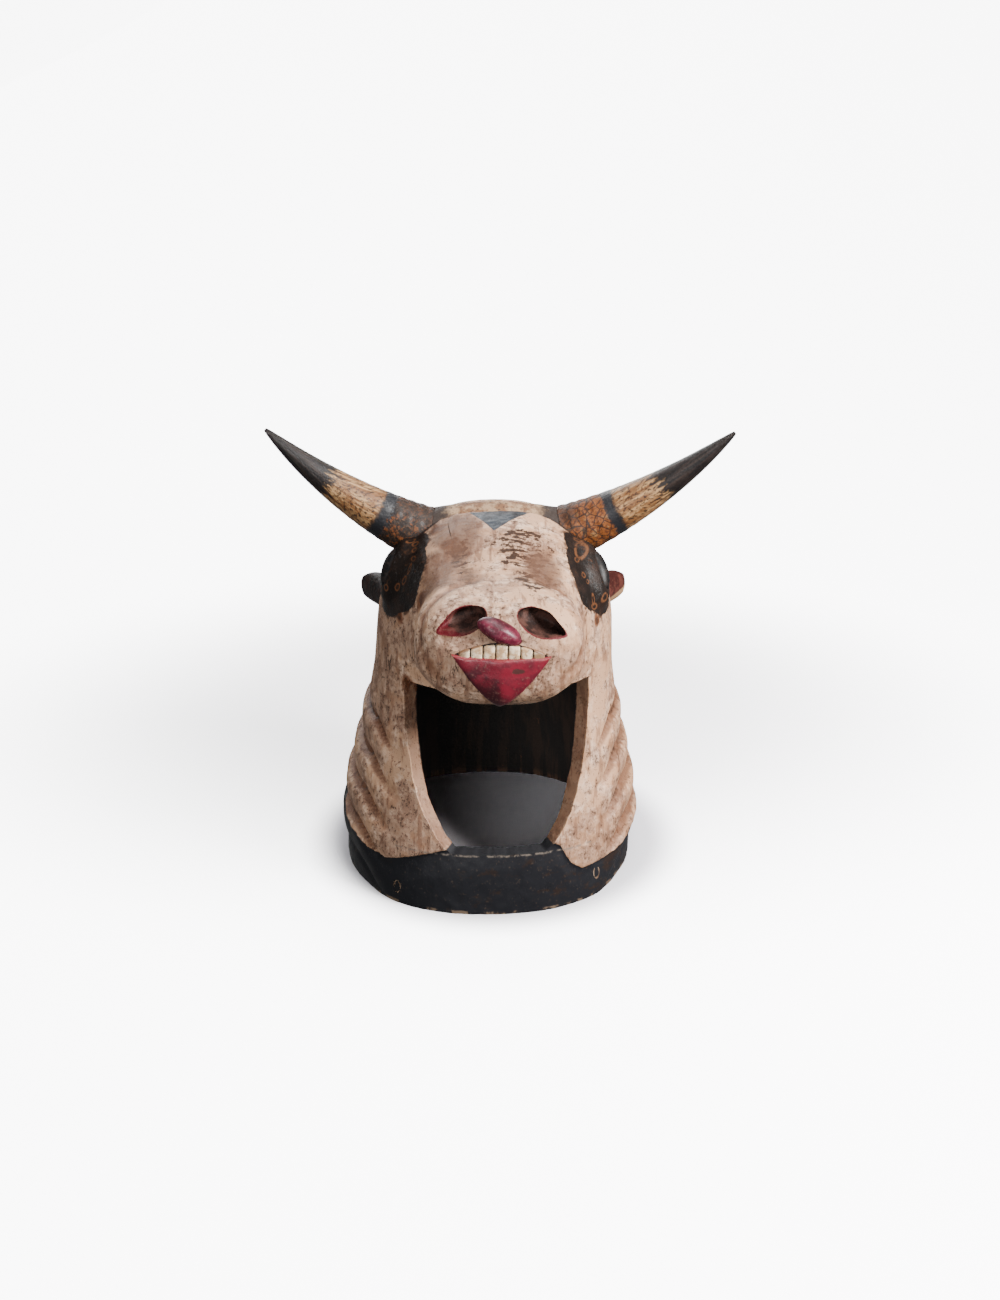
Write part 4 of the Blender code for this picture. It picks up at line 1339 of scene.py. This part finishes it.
# Teeth, horn, bone, hide and glass
TAN = (0.095, 0.044, 0.019)
BURNT_TAN = (0.070, 0.027, 0.011)
TOOTH_CREAM = (0.43, 0.335, 0.230)
TOOTH_BROWN = (0.235, 0.140, 0.068)
TOOTH_CORNER = (0.098, 0.052, 0.023)
HORN_BLACK = (0.0034, 0.0024, 0.0023)
HORN_BROWN = (0.0125, 0.0074, 0.0058)
HORN_CREAM = (0.225, 0.132, 0.060)
HORN_TAN = (0.100, 0.042, 0.014)
HORN_STREAK = (0.0150, 0.0062, 0.0028)
HORN_SPOT = (0.050, 0.021, 0.0075)
HORN_TOP = (0.0100, 0.0050, 0.0030)
LEFT_ROOT = ((0.0085, 0.0042, 0.0025), (0.080, 0.023, 0.0050), (0.050, 0.022, 0.009))
RIGHT_ROOT = ((0.110, 0.033, 0.0060), (0.043, 0.0115, 0.0030), (0.120, 0.058, 0.020))
BONE_PALE = (0.205, 0.130, 0.074)
BONE_BROWN = (0.092, 0.040, 0.016)
BONE_END = (0.0120, 0.0060, 0.0036)
LEFT_HIDE = ((0.0036, 0.0018, 0.0014), (0.0130, 0.0052, 0.0036))
RIGHT_HIDE = ((0.018, 0.0032, 0.0024), (0.048, 0.0125, 0.0090))
HIDE_WORN = (0.070, 0.032, 0.019)
HIDE_UNDER = (0.190, 0.110, 0.058)
GLASS_BLACK = (0.0022, 0.0020, 0.0022)
GLASS_SCRATCHED = (0.0095, 0.0065, 0.0055)


def aged_white(sheet, warmth=0.0):
    """Old white paint: chalky and cream in patches, rubbed brown, specked and streaked, and browned in its
    hollows: dirt and painted shade.
    """
    x = sheet.along(0)
    broad = sheet.noise(13.0, 4.0, 0.55)
    mottle = sheet.noise(44.0, 7.0, 0.66)
    small = sheet.noise(135.0, 5.0, 0.66)
    fine = sheet.noise(360.0, 3.0, 0.7)
    brushed = sheet.noise(75.0, 5.0, 0.62, stretch=(1.7, 0.35, 0.38), turn=(0.0, 0.62, 0.0))
    scratch = sheet.noise(40.0, 4.0, 0.6, stretch=(2.2, 0.4, 0.35), turn=(0.0, -0.5, 0.0))
    chalky = sheet.step(broad * 0.40 + mottle * 0.60, 0.465, 0.575)
    colour = sheet.mix(chalky, CREAM, CHALK)
    warm = sheet.step(x + (broad - 0.5) * 0.25, 0.02, 0.14) * 0.45 + warmth
    colour = sheet.mix(warm * (1.05 - chalky * 0.5), colour, BEIGE)
    veil = sheet.step(broad * 0.75 + small * 0.25, 0.470, 0.560)
    colour = sheet.mix(veil * 0.60, colour, UMBER)
    rubbed = sheet.step(mottle * 0.60 + broad * 0.20 + small * 0.20, 0.500, 0.575)
    colour = sheet.mix(rubbed * 0.58, colour, PINK_BROWN)
    colour = sheet.mix(sheet.step(brushed, 0.530, 0.630) * 0.60, colour, PINK_BROWN)
    specks = sheet.step(fine * 0.52 + small * 0.28 + mottle * 0.20, 0.542, 0.590)
    colour = sheet.mix(specks * 0.72, colour, DIRT_AND_SHADE)
    hairs = 1.0 - sheet.step(abs(scratch - 0.5), 0.0020, 0.0085)
    hairs = hairs * sheet.step(broad * 0.5 + small * 0.5, 0.515, 0.560)
    colour = sheet.mix(hairs * 0.75, colour, DIRT_AND_SHADE)
    # Browner where the surface lies below the smooth form, in the blade marks, creases and hollows: dirt and
    # painted shade.
    valley_dirt_and_shade = sheet.step(sheet.read("depth") + (small - 0.5) * 0.003, 0.0012, 0.0030)
    colour = sheet.mix(valley_dirt_and_shade * 0.55, colour, PINK_BROWN)
    height = mottle * 0.42 + small * 0.25 + fine * 0.12 + brushed * 0.30 - hairs * 0.20
    return colour, height, mottle, fine


def ring_mark(sheet, forward, lift, place, size, turn=0.0):
    """An oval line burnt into an eye's patch: its middle, its half sizes and its turn."""
    du, dv = forward - place[0], lift - place[1]
    cosine, sine = math.cos(turn), math.sin(turn)
    along = (du * cosine + dv * sine) / size[0]
    across = (dv * cosine - du * sine) / size[1]
    gap = abs(sheet.length(along, across) - 1.0)
    return 1.0 - sheet.step(gap, 0.10, 0.42)


# Marks burnt round the eyes, each as its middle forwards and up, half sizes and turn
LEFT_RINGS = (
    ((-0.0300, 0.0240), (0.0036, 0.0030), 0.0), ((-0.0215, 0.0290), (0.0034, 0.0029), 0.3),
    ((-0.0110, 0.0290), (0.0030, 0.0026), 0.0), ((0.0030, 0.0290), (0.0044, 0.0026), 0.5),
    ((0.0135, 0.0225), (0.0055, 0.0022), -0.6), ((0.0215, 0.0120), (0.0044, 0.0032), -0.9),
    ((0.0210, 0.0000), (0.0036, 0.0030), -1.1), ((0.0130, -0.0130), (0.0032, 0.0028), 0.0),
    ((0.0050, -0.0230), (0.0034, 0.0028), 0.0),
)
RIGHT_RINGS = (
    ((-0.0060, 0.0290), (0.0125, 0.0046), 0.15), ((0.0253, 0.0232), (0.0030, 0.0026), 0.0),
    ((0.0290, 0.0160), (0.0022, 0.0020), 0.0), ((0.0400, 0.0000), (0.0052, 0.0020), -0.9),
    ((0.0290, -0.0130), (0.0044, 0.0036), 0.5), ((0.0440, -0.0060), (0.0050, 0.0028), 0.9),
    ((-0.0270, 0.0280), (0.0040, 0.0030), 0.0), ((0.0100, 0.0330), (0.0036, 0.0024), 0.4),
)


def painted_wood():
    """The outside: old white paint, with the black foot band, eye patches and brow painted over it."""
    sheet = Finish("painted_wood")
    colour, height, mottle, fine = aged_white(sheet)
    x, y, z = (sheet.along(axis) for axis in range(3))
    small = sheet.noise(120.0, 5.0, 0.66)
    ragged = (mottle - 0.5) * 0.008 + (small - 0.5) * 0.005

    crease = sheet.read("crease")
    # Creases between the folds, the lines behind the muzzle and the hollows beside the nose are darkened:
    # dirt and painted shade.
    colour = sheet.mix(sheet.step(crease + (small - 0.5) * 0.9, 0.10, 0.75) * 0.72, colour, PINK_BROWN)
    colour = sheet.mix(sheet.step(crease + (mottle - 0.5) * 1.4, 0.58, 0.98) * 0.78, colour, DIRT_AND_SHADE)
    # Stains, and at the jaw corners under the muzzle painted shade as well.
    stain_and_shade = sheet.read("stain_and_shade") + (mottle - 0.5) * 1.4
    colour = sheet.mix(sheet.step(stain_and_shade, 0.30, 0.80) * 0.85, colour, RUST)
    colour = sheet.mix(sheet.step(stain_and_shade + (small - 0.5) * 1.2, 0.70, 1.0) * 0.75, colour, DIRT_AND_SHADE)
    colour = sheet.mix(worn_brow(sheet, small), colour, FLAKED)
    # Smears in the hollows left of the nose ridge: smear and painted shade.
    smear_and_shade = sheet.step(sheet.read("smear_and_shade") + (mottle - 0.5) * 2.0 + (small - 0.5), 0.35, 0.95)
    colour = sheet.mix(smear_and_shade * 0.75, colour, SMEAR_AND_SHADE_BROWN)
    blush = sheet.step(sheet.read("blush") + (mottle - 0.5) * 1.0, 0.25, 0.80)
    colour = sheet.mix(blush * 0.85, colour, BLUSHED)
    colour = sheet.mix(nostril_rim(sheet, y, small), colour, NOSTRIL_RED)

    forward, lift = sheet.read("patch_forward"), sheet.read("patch_lift")
    inside = sheet.read("patch_inside") + ragged * 0.75
    border = sheet.step(inside, -0.0060, -0.0006) * sheet.step(small, 0.44, 0.56)
    colour = sheet.mix(border * 0.9, colour, PATCH_EDGE)
    patch = sheet.step(inside, -0.0006, 0.0006)
    soot = sheet.mix(sheet.step(mottle, 0.47, 0.62), CHARRED, SOOT)
    soot = sheet.mix(sheet.step(small, 0.59, 0.66) * 0.7, soot, PATCH_RUBBED)
    colour = sheet.mix(patch, colour, soot)
    on_right = sheet.step(x, -0.001, 0.001)
    for rings, here in ((LEFT_RINGS, 1.0 - on_right), (RIGHT_RINGS, on_right)):
        marks = None
        for place, size, turn in rings:
            mark = ring_mark(sheet, forward, lift, place, size, turn)
            marks = sheet.larger(marks, mark) if marks else mark
        shown = sheet.step(small, 0.38, 0.50) * 0.85
        colour = sheet.mix(marks * here * patch * shown, colour, BURNT_TAN)

    seat = sheet.read("seat") + ragged * 0.8
    strip = 1.0 - sheet.step(seat, 0.0034, 0.0060)
    colour = sheet.mix(strip, colour, soot)

    across, rise = sheet.read("face_across"), sheet.read("face_height")
    teeth_top = LIP_TOP + TOOTH_HEIGHT + 0.0008 - across * across * TOOTH_ARCH
    mouth = sheet.step(teeth_top - rise, -0.0002, 0.0005) * sheet.step(rise, LIP_TOP - 0.004, LIP_TOP)
    mouth = mouth * sheet.step(TOOTH_ROW / 2.0 + 0.003 - abs(across), 0.0, 0.0010)
    mouth = mouth * sheet.step(y * -1.0, 0.17, 0.172)
    colour = sheet.mix(mouth, colour, MOUTH_BROWN)

    blaze = crown_triangle(sheet, x, y)
    blaze = sheet.step(blaze + ragged * 0.16, -0.0003, 0.0003) * sheet.step(z, 0.36, 0.361)
    slate = sheet.mix(sheet.step(mottle, 0.44, 0.60), SLATE, DARK_SLATE)
    colour = sheet.mix(blaze, colour, slate)

    above = sheet.read("above_band") + ragged * 0.35
    band = 1.0 - sheet.step(above, -0.0004, 0.0004)
    scuffs = sheet.step(fine * 0.7 + small * 0.3, 0.590, 0.645)
    rubbed = sheet.noise(30.0, 5.0, 0.7, stretch=(1.0, 1.0, 2.6))
    rubbed = sheet.step(rubbed + (x + 0.02) * 0.55 + (small - 0.5) * 0.5, 0.56, 0.72)
    night = sheet.mix(rubbed * 0.60, BLACK, BAND_RUBBED)
    night = sheet.mix(scuffs * 0.5, night, BAND_SCUFFED)
    colour = sheet.mix(band, colour, night)
    sill = 1.0 - sheet.step(abs(z - OPENING_SILL + 0.0012 + ragged * 0.3), 0.0003, 0.0018)
    sill = sill * sheet.step(y * -1.0, 0.10, 0.11) * sheet.step(small, 0.44, 0.54)
    colour = sheet.mix(sill * 0.7, colour, SILL_WOOD)
    rim = sheet.step(0.0040 - z + ragged * 0.6, 0.0, 0.0014) * sheet.step(mottle, 0.50, 0.57)
    colour = sheet.mix(rim * 0.8, colour, RIM_WOOD)
    dark = sheet.larger(sheet.larger(band, patch), blaze)
    roughness = 0.60 - dark * 0.16 + (mottle - 0.5) * 0.5
    return sheet.surface(colour, roughness, height * (1.0 - band * 0.60), 0.0022, specular=0.13)


def nostril_rim(sheet, y, small):
    """The thin red line round the nostrils, above the left one and below the right one."""
    across, rise = sheet.read("face_across"), sheet.read("face_height")
    rims = None
    for side in (-1, 1):
        along, lift = across - side * NOSTRIL_OFFSET, rise - NOSTRIL_HEIGHT
        cosine, sine = math.cos(NOSTRIL_TILT), -side * math.sin(NOSTRIL_TILT)
        reach_along = (along * cosine + lift * sine) / NOSTRIL_SIZE.x
        reach_up = (lift * cosine - along * sine) / NOSTRIL_SIZE.z
        pinch = 1.0 - sheet.step(reach_along * side, 0.0, 1.0) * NOSTRIL_PINCH
        reach_in = (y - (nostril_middle(side) + frame_shift()).y) / NOSTRIL_SIZE.y
        gap = sheet.length(reach_along, reach_up / pinch, reach_in)
        width = sheet.step((reach_along * 0.6 - reach_up) * side, -0.2, 0.9) * 0.06 + 0.015
        rim = 1.0 - sheet.step(gap - width + (small - 0.5) * 0.20, 0.98, 1.03)
        rims = sheet.larger(rims, rim) if rims else rim
    return rims * sheet.step(y * -1.0, 0.15, 0.152)


def worn_brow(sheet, small):
    """Where the white has flaked from the brow: loose groups of chips and short scores."""
    chips = sheet.noise(150.0, 4.0, 0.62, stretch=(0.45, 1.35, 1.0), turn=(0.0, 0.0, 0.40))
    worn = sheet.smaller(sheet.read("scratched") * 1.9, 1.0)
    return sheet.step(worn * 0.29 + chips + (small - 0.5) * 0.9, 0.755, 0.790)


def crown_triangle(sheet, x, y):
    """How far inside the dark triangle on the brow a point is, seen from above."""
    shift = frame_shift()
    corners = [Vector((-0.0285, -0.0165)), Vector((-0.0028, -0.0665)), Vector((0.0375, -0.0145))]
    inside = None
    for start, end in zip(corners, corners[1:] + corners[:1]):
        way = (end - start).normalized()
        start = start + shift.xy
        gap = (y - start.y) * way.x - (x - start.x) * way.y
        inside = sheet.smaller(inside, gap) if inside else gap
    return inside


def cut_wood():
    """The cut edge of the opening: cream paint, black below where the band runs through it."""
    sheet = Finish("cut_wood")
    colour, height, mottle, fine = aged_white(sheet, 0.06)
    x, _, z = (sheet.along(axis) for axis in range(3))
    depth = sheet.read("depth")
    worn = sheet.step(mottle * 0.6 + fine * 0.4, 0.50, 0.58)
    colour = sheet.mix(worn * 0.62, colour, TAN)
    inner = sheet.step(depth + (mottle - 0.5) * 0.007, WALL * 0.74, WALL * 0.86)
    colour = sheet.mix(inner, colour, CHARRED)
    above = sheet.read("above_band") + (mottle - 0.5) * 0.004
    colour = sheet.mix(1.0 - sheet.step(above, -0.0005, 0.0005), colour, BLACK)
    stained = sheet.step(z, 0.196, 0.236) * sheet.step(mottle + fine * 0.3, 0.56, 0.68)
    colour = sheet.mix(stained * sheet.step(x * -1.0, 0.0, 0.03) * 0.9, colour, RUST)
    return sheet.surface(colour, 0.66 + (mottle - 0.5) * 0.3, height, 0.0016)


def sooty_wood():
    """Bare wood inside, black with soot and handling, scuffed to tan here and there."""
    sheet = Finish("sooty_wood")
    mottle = sheet.noise(26.0, 6.0, 0.7)
    grain = sheet.noise(70.0, 5.0, 0.6, stretch=(1.0, 1.0, 0.12))
    colour = sheet.mix(sheet.step(grain, 0.44, 0.60), SOOTY_DARK, SOOTY_PALE)
    scuffs = sheet.step(mottle * 0.75 + grain * 0.25, 0.600, 0.640)
    colour = sheet.mix(scuffs * 0.7, colour, SOOTY_SCUFF)
    z = sheet.along(2)
    rim = (1.0 - sheet.step(z + (mottle - 0.5) * 0.03, 0.002, 0.010)) * sheet.step(grain, 0.48, 0.56)
    colour = sheet.mix(rim * 0.7, colour, SOOTY_RIM)
    return sheet.surface(colour, 0.75, mottle * 0.6 + grain * 0.6, 0.0014, specular=0.25)


def bare_wood():
    """Pale bare wood, in the worn tie holes."""
    sheet = Finish("bare_wood")
    grain = sheet.noise(160.0, 4.0, 0.6, stretch=(1.0, 1.0, 0.25))
    colour = sheet.mix(sheet.step(grain, 0.42, 0.60), DARK_WOOD, PALE_WOOD)
    return sheet.surface(colour, 0.8, grain, 0.0006)


def nostril_paint():
    """The nostrils' pits: grey-brown inside, darker deep in as painted shade, with a red rim."""
    sheet = Finish("nostril_paint")
    mottle = sheet.noise(80.0, 6.0, 0.68)
    fine = sheet.noise(320.0, 3.0, 0.6)
    colour = sheet.mix(sheet.step(mottle, 0.42, 0.60), PIT_DARK, PIT_PALE)
    depth = sheet.read("depth")
    # Painted shade: darker the deeper the pit goes.
    colour = sheet.mix(sheet.step(depth + (mottle - 0.5) * 0.012, 0.006, 0.019), colour, PIT_SHADE)
    across = sheet.read("face_across")
    outer = sheet.larger(NOSTRIL_OFFSET * -0.6 - across, 0.0) * 0.30
    rim = 0.0016 + outer + (mottle - 0.5) * 0.008
    rosy = sheet.mix(sheet.step(mottle, 0.45, 0.58), ROSY_DARK, ROSY_PALE)
    colour = sheet.mix(1.0 - sheet.step(depth - rim, -0.0008, 0.0006), colour, rosy)
    return sheet.surface(colour, 0.55, mottle * 0.7 + fine * 0.3, 0.0014, specular=0.08)


def lip_paint():
    """Thick red on the lip and tongue, darker on the lip's lower left as painted shade, with a painted
    highlight along its top edge, and rubbed on the ridge.
    """
    sheet = Finish("lip_paint")
    mottle = sheet.noise(55.0, 5.0, 0.64)
    fine = sheet.noise(330.0, 3.0, 0.65)
    colour = sheet.mix(sheet.step(mottle, 0.47, 0.62), CRIMSON, DARK_CRIMSON)
    across, rise = sheet.read("face_across"), sheet.read("face_height")
    # Painted shade: the lower left of the lip is darkened.
    painted_left_shade = sheet.step(0.305 - rise - across * 0.45 + (mottle - 0.5) * 0.06, 0.0, 0.030)
    painted_left_shade = painted_left_shade * (1.0 - sheet.step(across, -0.003, 0.005))
    colour = sheet.mix(painted_left_shade * 0.85, colour, LIP_SHADE)
    licked = sheet.step(rise, 0.3265, 0.3300)
    purple = sheet.mix(sheet.step(mottle, 0.44, 0.56), DARK_PURPLE, PURPLE)
    purple = sheet.mix(sheet.step(fine * 0.4 + mottle * 0.6, 0.545, 0.60) * 0.6, purple, PALE_PURPLE)
    colour = sheet.mix(licked, colour, purple)
    specks = sheet.step(fine + (mottle - 0.5) * 0.4, 0.625, 0.67)
    colour = sheet.mix(specks * 0.40, colour, LIP_SPECK)
    gap = sheet.length((across - 0.016) * 0.4, rise - 0.306)
    bare = 1.0 - sheet.step(gap + (mottle - 0.5) * 0.010, 0.0012, 0.0024)
    colour = sheet.mix(bare * 0.8, colour, LIP_BARE)
    # Painted highlight: a brighter red along the lip's top edge.
    edge = 1.0 - sheet.step(LIP_TOP - rise + (mottle - 0.5) * 0.008, 0.0012, 0.0030)
    colour = sheet.mix(edge * (1.0 - licked) * 0.6, colour, LIP_TOP_HIGHLIGHT)
    roughness = 0.42 + (mottle - 0.5) * 0.5
    return sheet.surface(colour, roughness, mottle * 0.7 + fine * 0.2, 0.0013, coat=0.04, specular=0.25)


def tooth_paint():
    """Cream teeth, brown towards the gums."""
    sheet = Finish("tooth_paint")
    mottle = sheet.noise(110.0, 5.0, 0.65)
    across, rise = sheet.read("face_across"), sheet.read("face_height")
    colour = sheet.mix(sheet.step(mottle, 0.45, 0.60), TOOTH_CREAM, TOOTH_BROWN)
    ends = sheet.step(abs(across) + (mottle - 0.5) * 0.02, 0.027, 0.037)
    colour = sheet.mix(ends * 0.75, colour, TOOTH_CORNER)
    gum = LIP_TOP + TOOTH_HEIGHT - across * across * TOOTH_ARCH - rise
    colour = sheet.mix(1.0 - sheet.step(gum + (mottle - 0.5) * 0.006, -0.0002, 0.0014), colour, TAN)
    specks = sheet.step(sheet.noise(380.0, 3.0, 0.6), 0.60, 0.66)
    colour = sheet.mix(specks * 0.7, colour, DIRT_AND_SHADE)
    return sheet.surface(colour, 0.5, mottle, 0.0009, specular=0.35)


def horn_finish(side):
    """Cattle horn: black at the tip, pale in the middle, a black band, and burnt marks at its root."""
    sheet = Finish(f"horn_{side_name(side)}")
    share = sheet.read("share")
    girth = sheet.read("girth", "Vector")
    apart = sheet.node("CombineXYZ", {}, [share * 1.6, 0.7 * side, 0.0])
    grain_place = sheet.node("VectorMath", {"operation": "ADD"}, [girth, apart])
    grain = sheet.noise(4.2, 6.0, 0.66, place=grain_place)
    close = sheet.node("CombineXYZ", {}, [share * 7.0, 2.0 * side, 0.0])
    fine_place = sheet.node("VectorMath", {"operation": "ADD"}, [girth, close])
    fine = sheet.noise(7.5, 5.0, 0.66, place=fine_place)
    spots = sheet.noise(165.0, 4.0, 0.62)

    dark = sheet.mix(sheet.step(grain, 0.45, 0.62), HORN_BLACK, HORN_BROWN)
    cream = sheet.mix(sheet.step(grain, 0.40, 0.56), HORN_CREAM, HORN_TAN)
    cream = sheet.mix(sheet.step(fine, 0.515, 0.575) * 0.92, cream, HORN_STREAK)
    cream = sheet.mix(sheet.step(spots, 0.56, 0.64) * 0.5, cream, HORN_SPOT)
    pale_end = 0.575 if side < 0 else 0.535
    band_out = 0.285 if side < 0 else 0.300
    band_in = 0.215 if side < 0 else 0.245
    edge = share + (grain - 0.5) * 0.42 + (fine - 0.5) * 0.12
    colour = sheet.mix(sheet.step(edge, pale_end - 0.040, pale_end + 0.020), cream, dark)
    band_edge = share + (fine - 0.5) * 0.060 + (spots - 0.5) * 0.035
    colour = sheet.mix(1.0 - sheet.step(band_edge, band_out - 0.010, band_out + 0.016), colour, BLACK)
    inner_edge = share + (fine - 0.5) * (0.14 if side < 0 else 0.05)
    inner = 1.0 - sheet.step(inner_edge, band_in - 0.012, band_in + 0.012)
    if side < 0:
        root = sheet.mix(sheet.step(spots, 0.50, 0.60), LEFT_ROOT[0], LEFT_ROOT[1])
        root = sheet.mix(sheet.step(fine, 0.50, 0.60) * 0.8, root, LEFT_ROOT[2])
    else:
        root = sheet.mix(sheet.step(fine, 0.46, 0.60), RIGHT_ROOT[0], RIGHT_ROOT[1])
        root = sheet.mix(sheet.step(spots, 0.57, 0.64) * 0.8, root, RIGHT_ROOT[2])
    burnt = sheet.cell_edges(120.0 if side < 0 else 95.0)
    root = sheet.mix((1.0 - sheet.step(burnt, 0.015, 0.075)) * 0.85, root, CHARRED)
    colour = sheet.mix(inner, colour, root)
    x, _, z = (sheet.along(axis) for axis in range(3))
    line_height = HORN_ROOT_HEIGHT + (x * side - HORN_ROOT_OFFSET) * 0.60
    topside = sheet.step(z - line_height + (spots - 0.5) * 0.06, 0.011, 0.022) * inner
    if side > 0:
        topside = topside * (1.0 - sheet.step(share + (fine - 0.5) * 0.1, 0.07, 0.13))
    colour = sheet.mix(topside * 0.70, colour, HORN_TOP)
    height = grain * 0.5 + fine * 0.6 + spots * inner * 0.8
    roughness = 0.42 + (grain - 0.5) * 0.5 + inner * 0.20
    return sheet.surface(colour, roughness, height, 0.0014, coat=0.03, specular=0.20)


def skull_bone():
    """Dry bone, cream and brown, and black at its ends beside the horns."""
    sheet = Finish("skull_bone")
    mottle = sheet.noise(60.0, 6.0, 0.7)
    fine = sheet.noise(290.0, 4.0, 0.7)
    colour = sheet.mix(sheet.step(mottle, 0.43, 0.58), BONE_PALE, BONE_BROWN)
    colour = sheet.mix(sheet.step(fine, 0.55, 0.63) * 0.8, colour, DIRT_AND_SHADE)
    x = sheet.along(0)
    ends = sheet.step(abs(x + 0.006) + (mottle - 0.5) * 0.05, 0.038, 0.058)
    colour = sheet.mix(ends, colour, BONE_END)
    return sheet.surface(colour, 0.75, mottle * 0.6 + fine * 0.5, 0.0016)


def ear_hide(side):
    """Stiff hide, painted red-brown and worn, nearly black on the left."""
    sheet = Finish(f"ear_hide_{side_name(side)}")
    mottle = sheet.noise(80.0, 5.0, 0.65)
    fine = sheet.noise(300.0, 3.0, 0.6)
    colour = sheet.mix(sheet.step(mottle, 0.44, 0.60), *(LEFT_HIDE if side < 0 else RIGHT_HIDE))
    colour = sheet.mix(sheet.step(fine, 0.58, 0.66) * 0.4, colour, HIDE_WORN)
    if side > 0:
        z = sheet.along(2)
        low = 1.0 - sheet.step(z + (mottle - 0.5) * 0.006, 0.2855, 0.2885)
        colour = sheet.mix(low, colour, HIDE_UNDER)
    return sheet.surface(colour, 0.5 + (mottle - 0.5) * 0.3, mottle * 0.6 + fine * 0.4, 0.0012, specular=0.12)


def eye_glass():
    """Black glass, dulled by faint scratches."""
    sheet = Finish("eye_glass")
    scratch = sheet.noise(90.0, 3.0, 0.6, stretch=(1.0, 0.2, 2.2))
    colour = sheet.mix(sheet.step(scratch, 0.46, 0.62), GLASS_BLACK, GLASS_SCRATCHED)
    return sheet.surface(colour, 0.30 + scratch * 0.30, scratch, 0.0004, specular=0.14)


# The stage

# Each light's place, its size, its power in watts and its colour
LIGHTS = (
    ("key_light", (1.35, -0.85, 1.25), 0.7, 190.0, (1.0, 0.985, 0.965)),
    ("front_light", (-0.60, -1.75, 0.70), 0.9, 34.0, (0.98, 0.99, 1.0)),
    ("top_light", (0.25, 0.0, 2.1), 1.0, 44.0, (1.0, 1.0, 1.0)),
    ("back_light", (-0.6, 1.9, 1.3), 1.6, 60.0, (1.0, 1.0, 1.0)),
)
LIT_PLACE = Vector((0.0, 0.0, 0.25))


def make_stage():
    """A pale floor that curves up into a backdrop, with soft lights. The paper glows as painted light away
    from the mask, held back under it and partly behind it as a painted shadow.
    """
    sheet = Finish("studio_paper")
    x, y = (sheet.along(axis) for axis in range(2))
    shift = frame_shift()
    under = sheet.length(x - shift.x, y - shift.y)
    behind = sheet.length(x * 0.775, y - 0.42)
    # Painted light and shadow: the paper glows away from the mask, not under it, and less behind it.
    glow_with_painted_shadow = sheet.step(under, 0.178, 0.235) * (sheet.step(behind, 0.20, 0.72) * 0.72 + 0.28)
    glow = sheet.mix(glow_with_painted_shadow, (0.0, 0.0, 0.0), (1.0, 1.0, 1.0))
    paper = sheet.surface((0.50, 0.49, 0.52), 0.9, 0.5, 0.0, specular=0.0, glow=glow)
    line = [(-2.5, 0.0), (0.9, 0.0)]
    for turn in np.linspace(0.0, math.pi / 2, 24):
        line.append((0.9 + 1.1 * math.sin(turn), 1.1 - 1.1 * math.cos(turn)))
    line.append((2.0, 3.5))
    points = [(x, y, z) for y, z in line for x in (-4.0, 4.0)]
    faces = [(2 * i, 2 * i + 1, 2 * i + 3, 2 * i + 2) for i in range(len(line) - 1)]
    floor = mesh_object("studio_floor", points, faces, paper)
    floor.data.shade_smooth()
    floor.visible_diffuse = False
    floor.visible_glossy = False

    for name, place, size, power, colour in LIGHTS:
        light = bpy.data.lights.new(name, "AREA")
        light.size = size
        light.energy = power
        light.color = colour
        lamp = bpy.data.objects.new(name, light)
        lamp.location = place
        lamp.rotation_euler = (LIT_PLACE - lamp.location).to_track_quat("-Z", "Y").to_euler()
        bpy.context.scene.collection.objects.link(lamp)

    world = bpy.data.worlds.new("studio")
    world.use_nodes = True
    sky = world.node_tree.nodes["Background"].inputs
    sky["Color"].default_value = (1.0, 1.0, 1.0, 1.0)
    sky["Strength"].default_value = 0.25
    bpy.context.scene.world = world


def make_camera():
    """The camera stands a little to the left of the mask's middle and looks down on it by 21 degrees."""
    distance, height, aim_height = 1.45, 0.77, 0.22
    bearing = math.radians(1.5)
    pixels_per_metre, frame_height, film = 870.0, 1300.0, 36.0
    aim = Vector((0.006, 0.029, aim_height)) + frame_shift()
    level = Vector((-math.sin(bearing), -math.cos(bearing), 0.0))
    eye = aim + level * distance + Vector((0.0, 0.0, height - aim_height))
    data = bpy.data.cameras.new("camera")
    data.sensor_width = film
    data.lens = pixels_per_metre * (eye - aim).length / frame_height * film
    camera = bpy.data.objects.new("camera", data)
    camera.location = eye
    camera.rotation_euler = (aim - eye).to_track_quat("-Z", "Y").to_euler()
    bpy.context.scene.collection.objects.link(camera)
    bpy.context.scene.camera = camera


FINISHES = {
    "painted_wood": painted_wood(),
    "cut_wood": cut_wood(),
    "sooty_wood": sooty_wood(),
    "bare_wood": bare_wood(),
    "nostril_paint": nostril_paint(),
    "lip_paint": lip_paint(),
    "tooth_paint": tooth_paint(),
    "horn_left": horn_finish(-1),
    "horn_right": horn_finish(1),
    "skull_bone": skull_bone(),
    "ear_left": ear_hide(-1),
    "ear_right": ear_hide(1),
    "eye_glass": eye_glass(),
}
HORN_SHAPE = horn_shape()

make_stage()
make_camera()
mask_carving()
poll_bone()
for each_side in (-1, 1):
    horn(each_side)
    ear_node, eye_node = (f"{kind}_{side_name(each_side)}" for kind in ("ear", "eye"))
    hide = ear(f"hide_{ear_node}", each_side, FINISHES[ear_node])
    finish_piece(hide, ear_node)
    glass = eye_form(f"glass_{eye_node}", each_side, 0.0, FINISHES["eye_glass"])
    finish_piece(glass, eye_node)
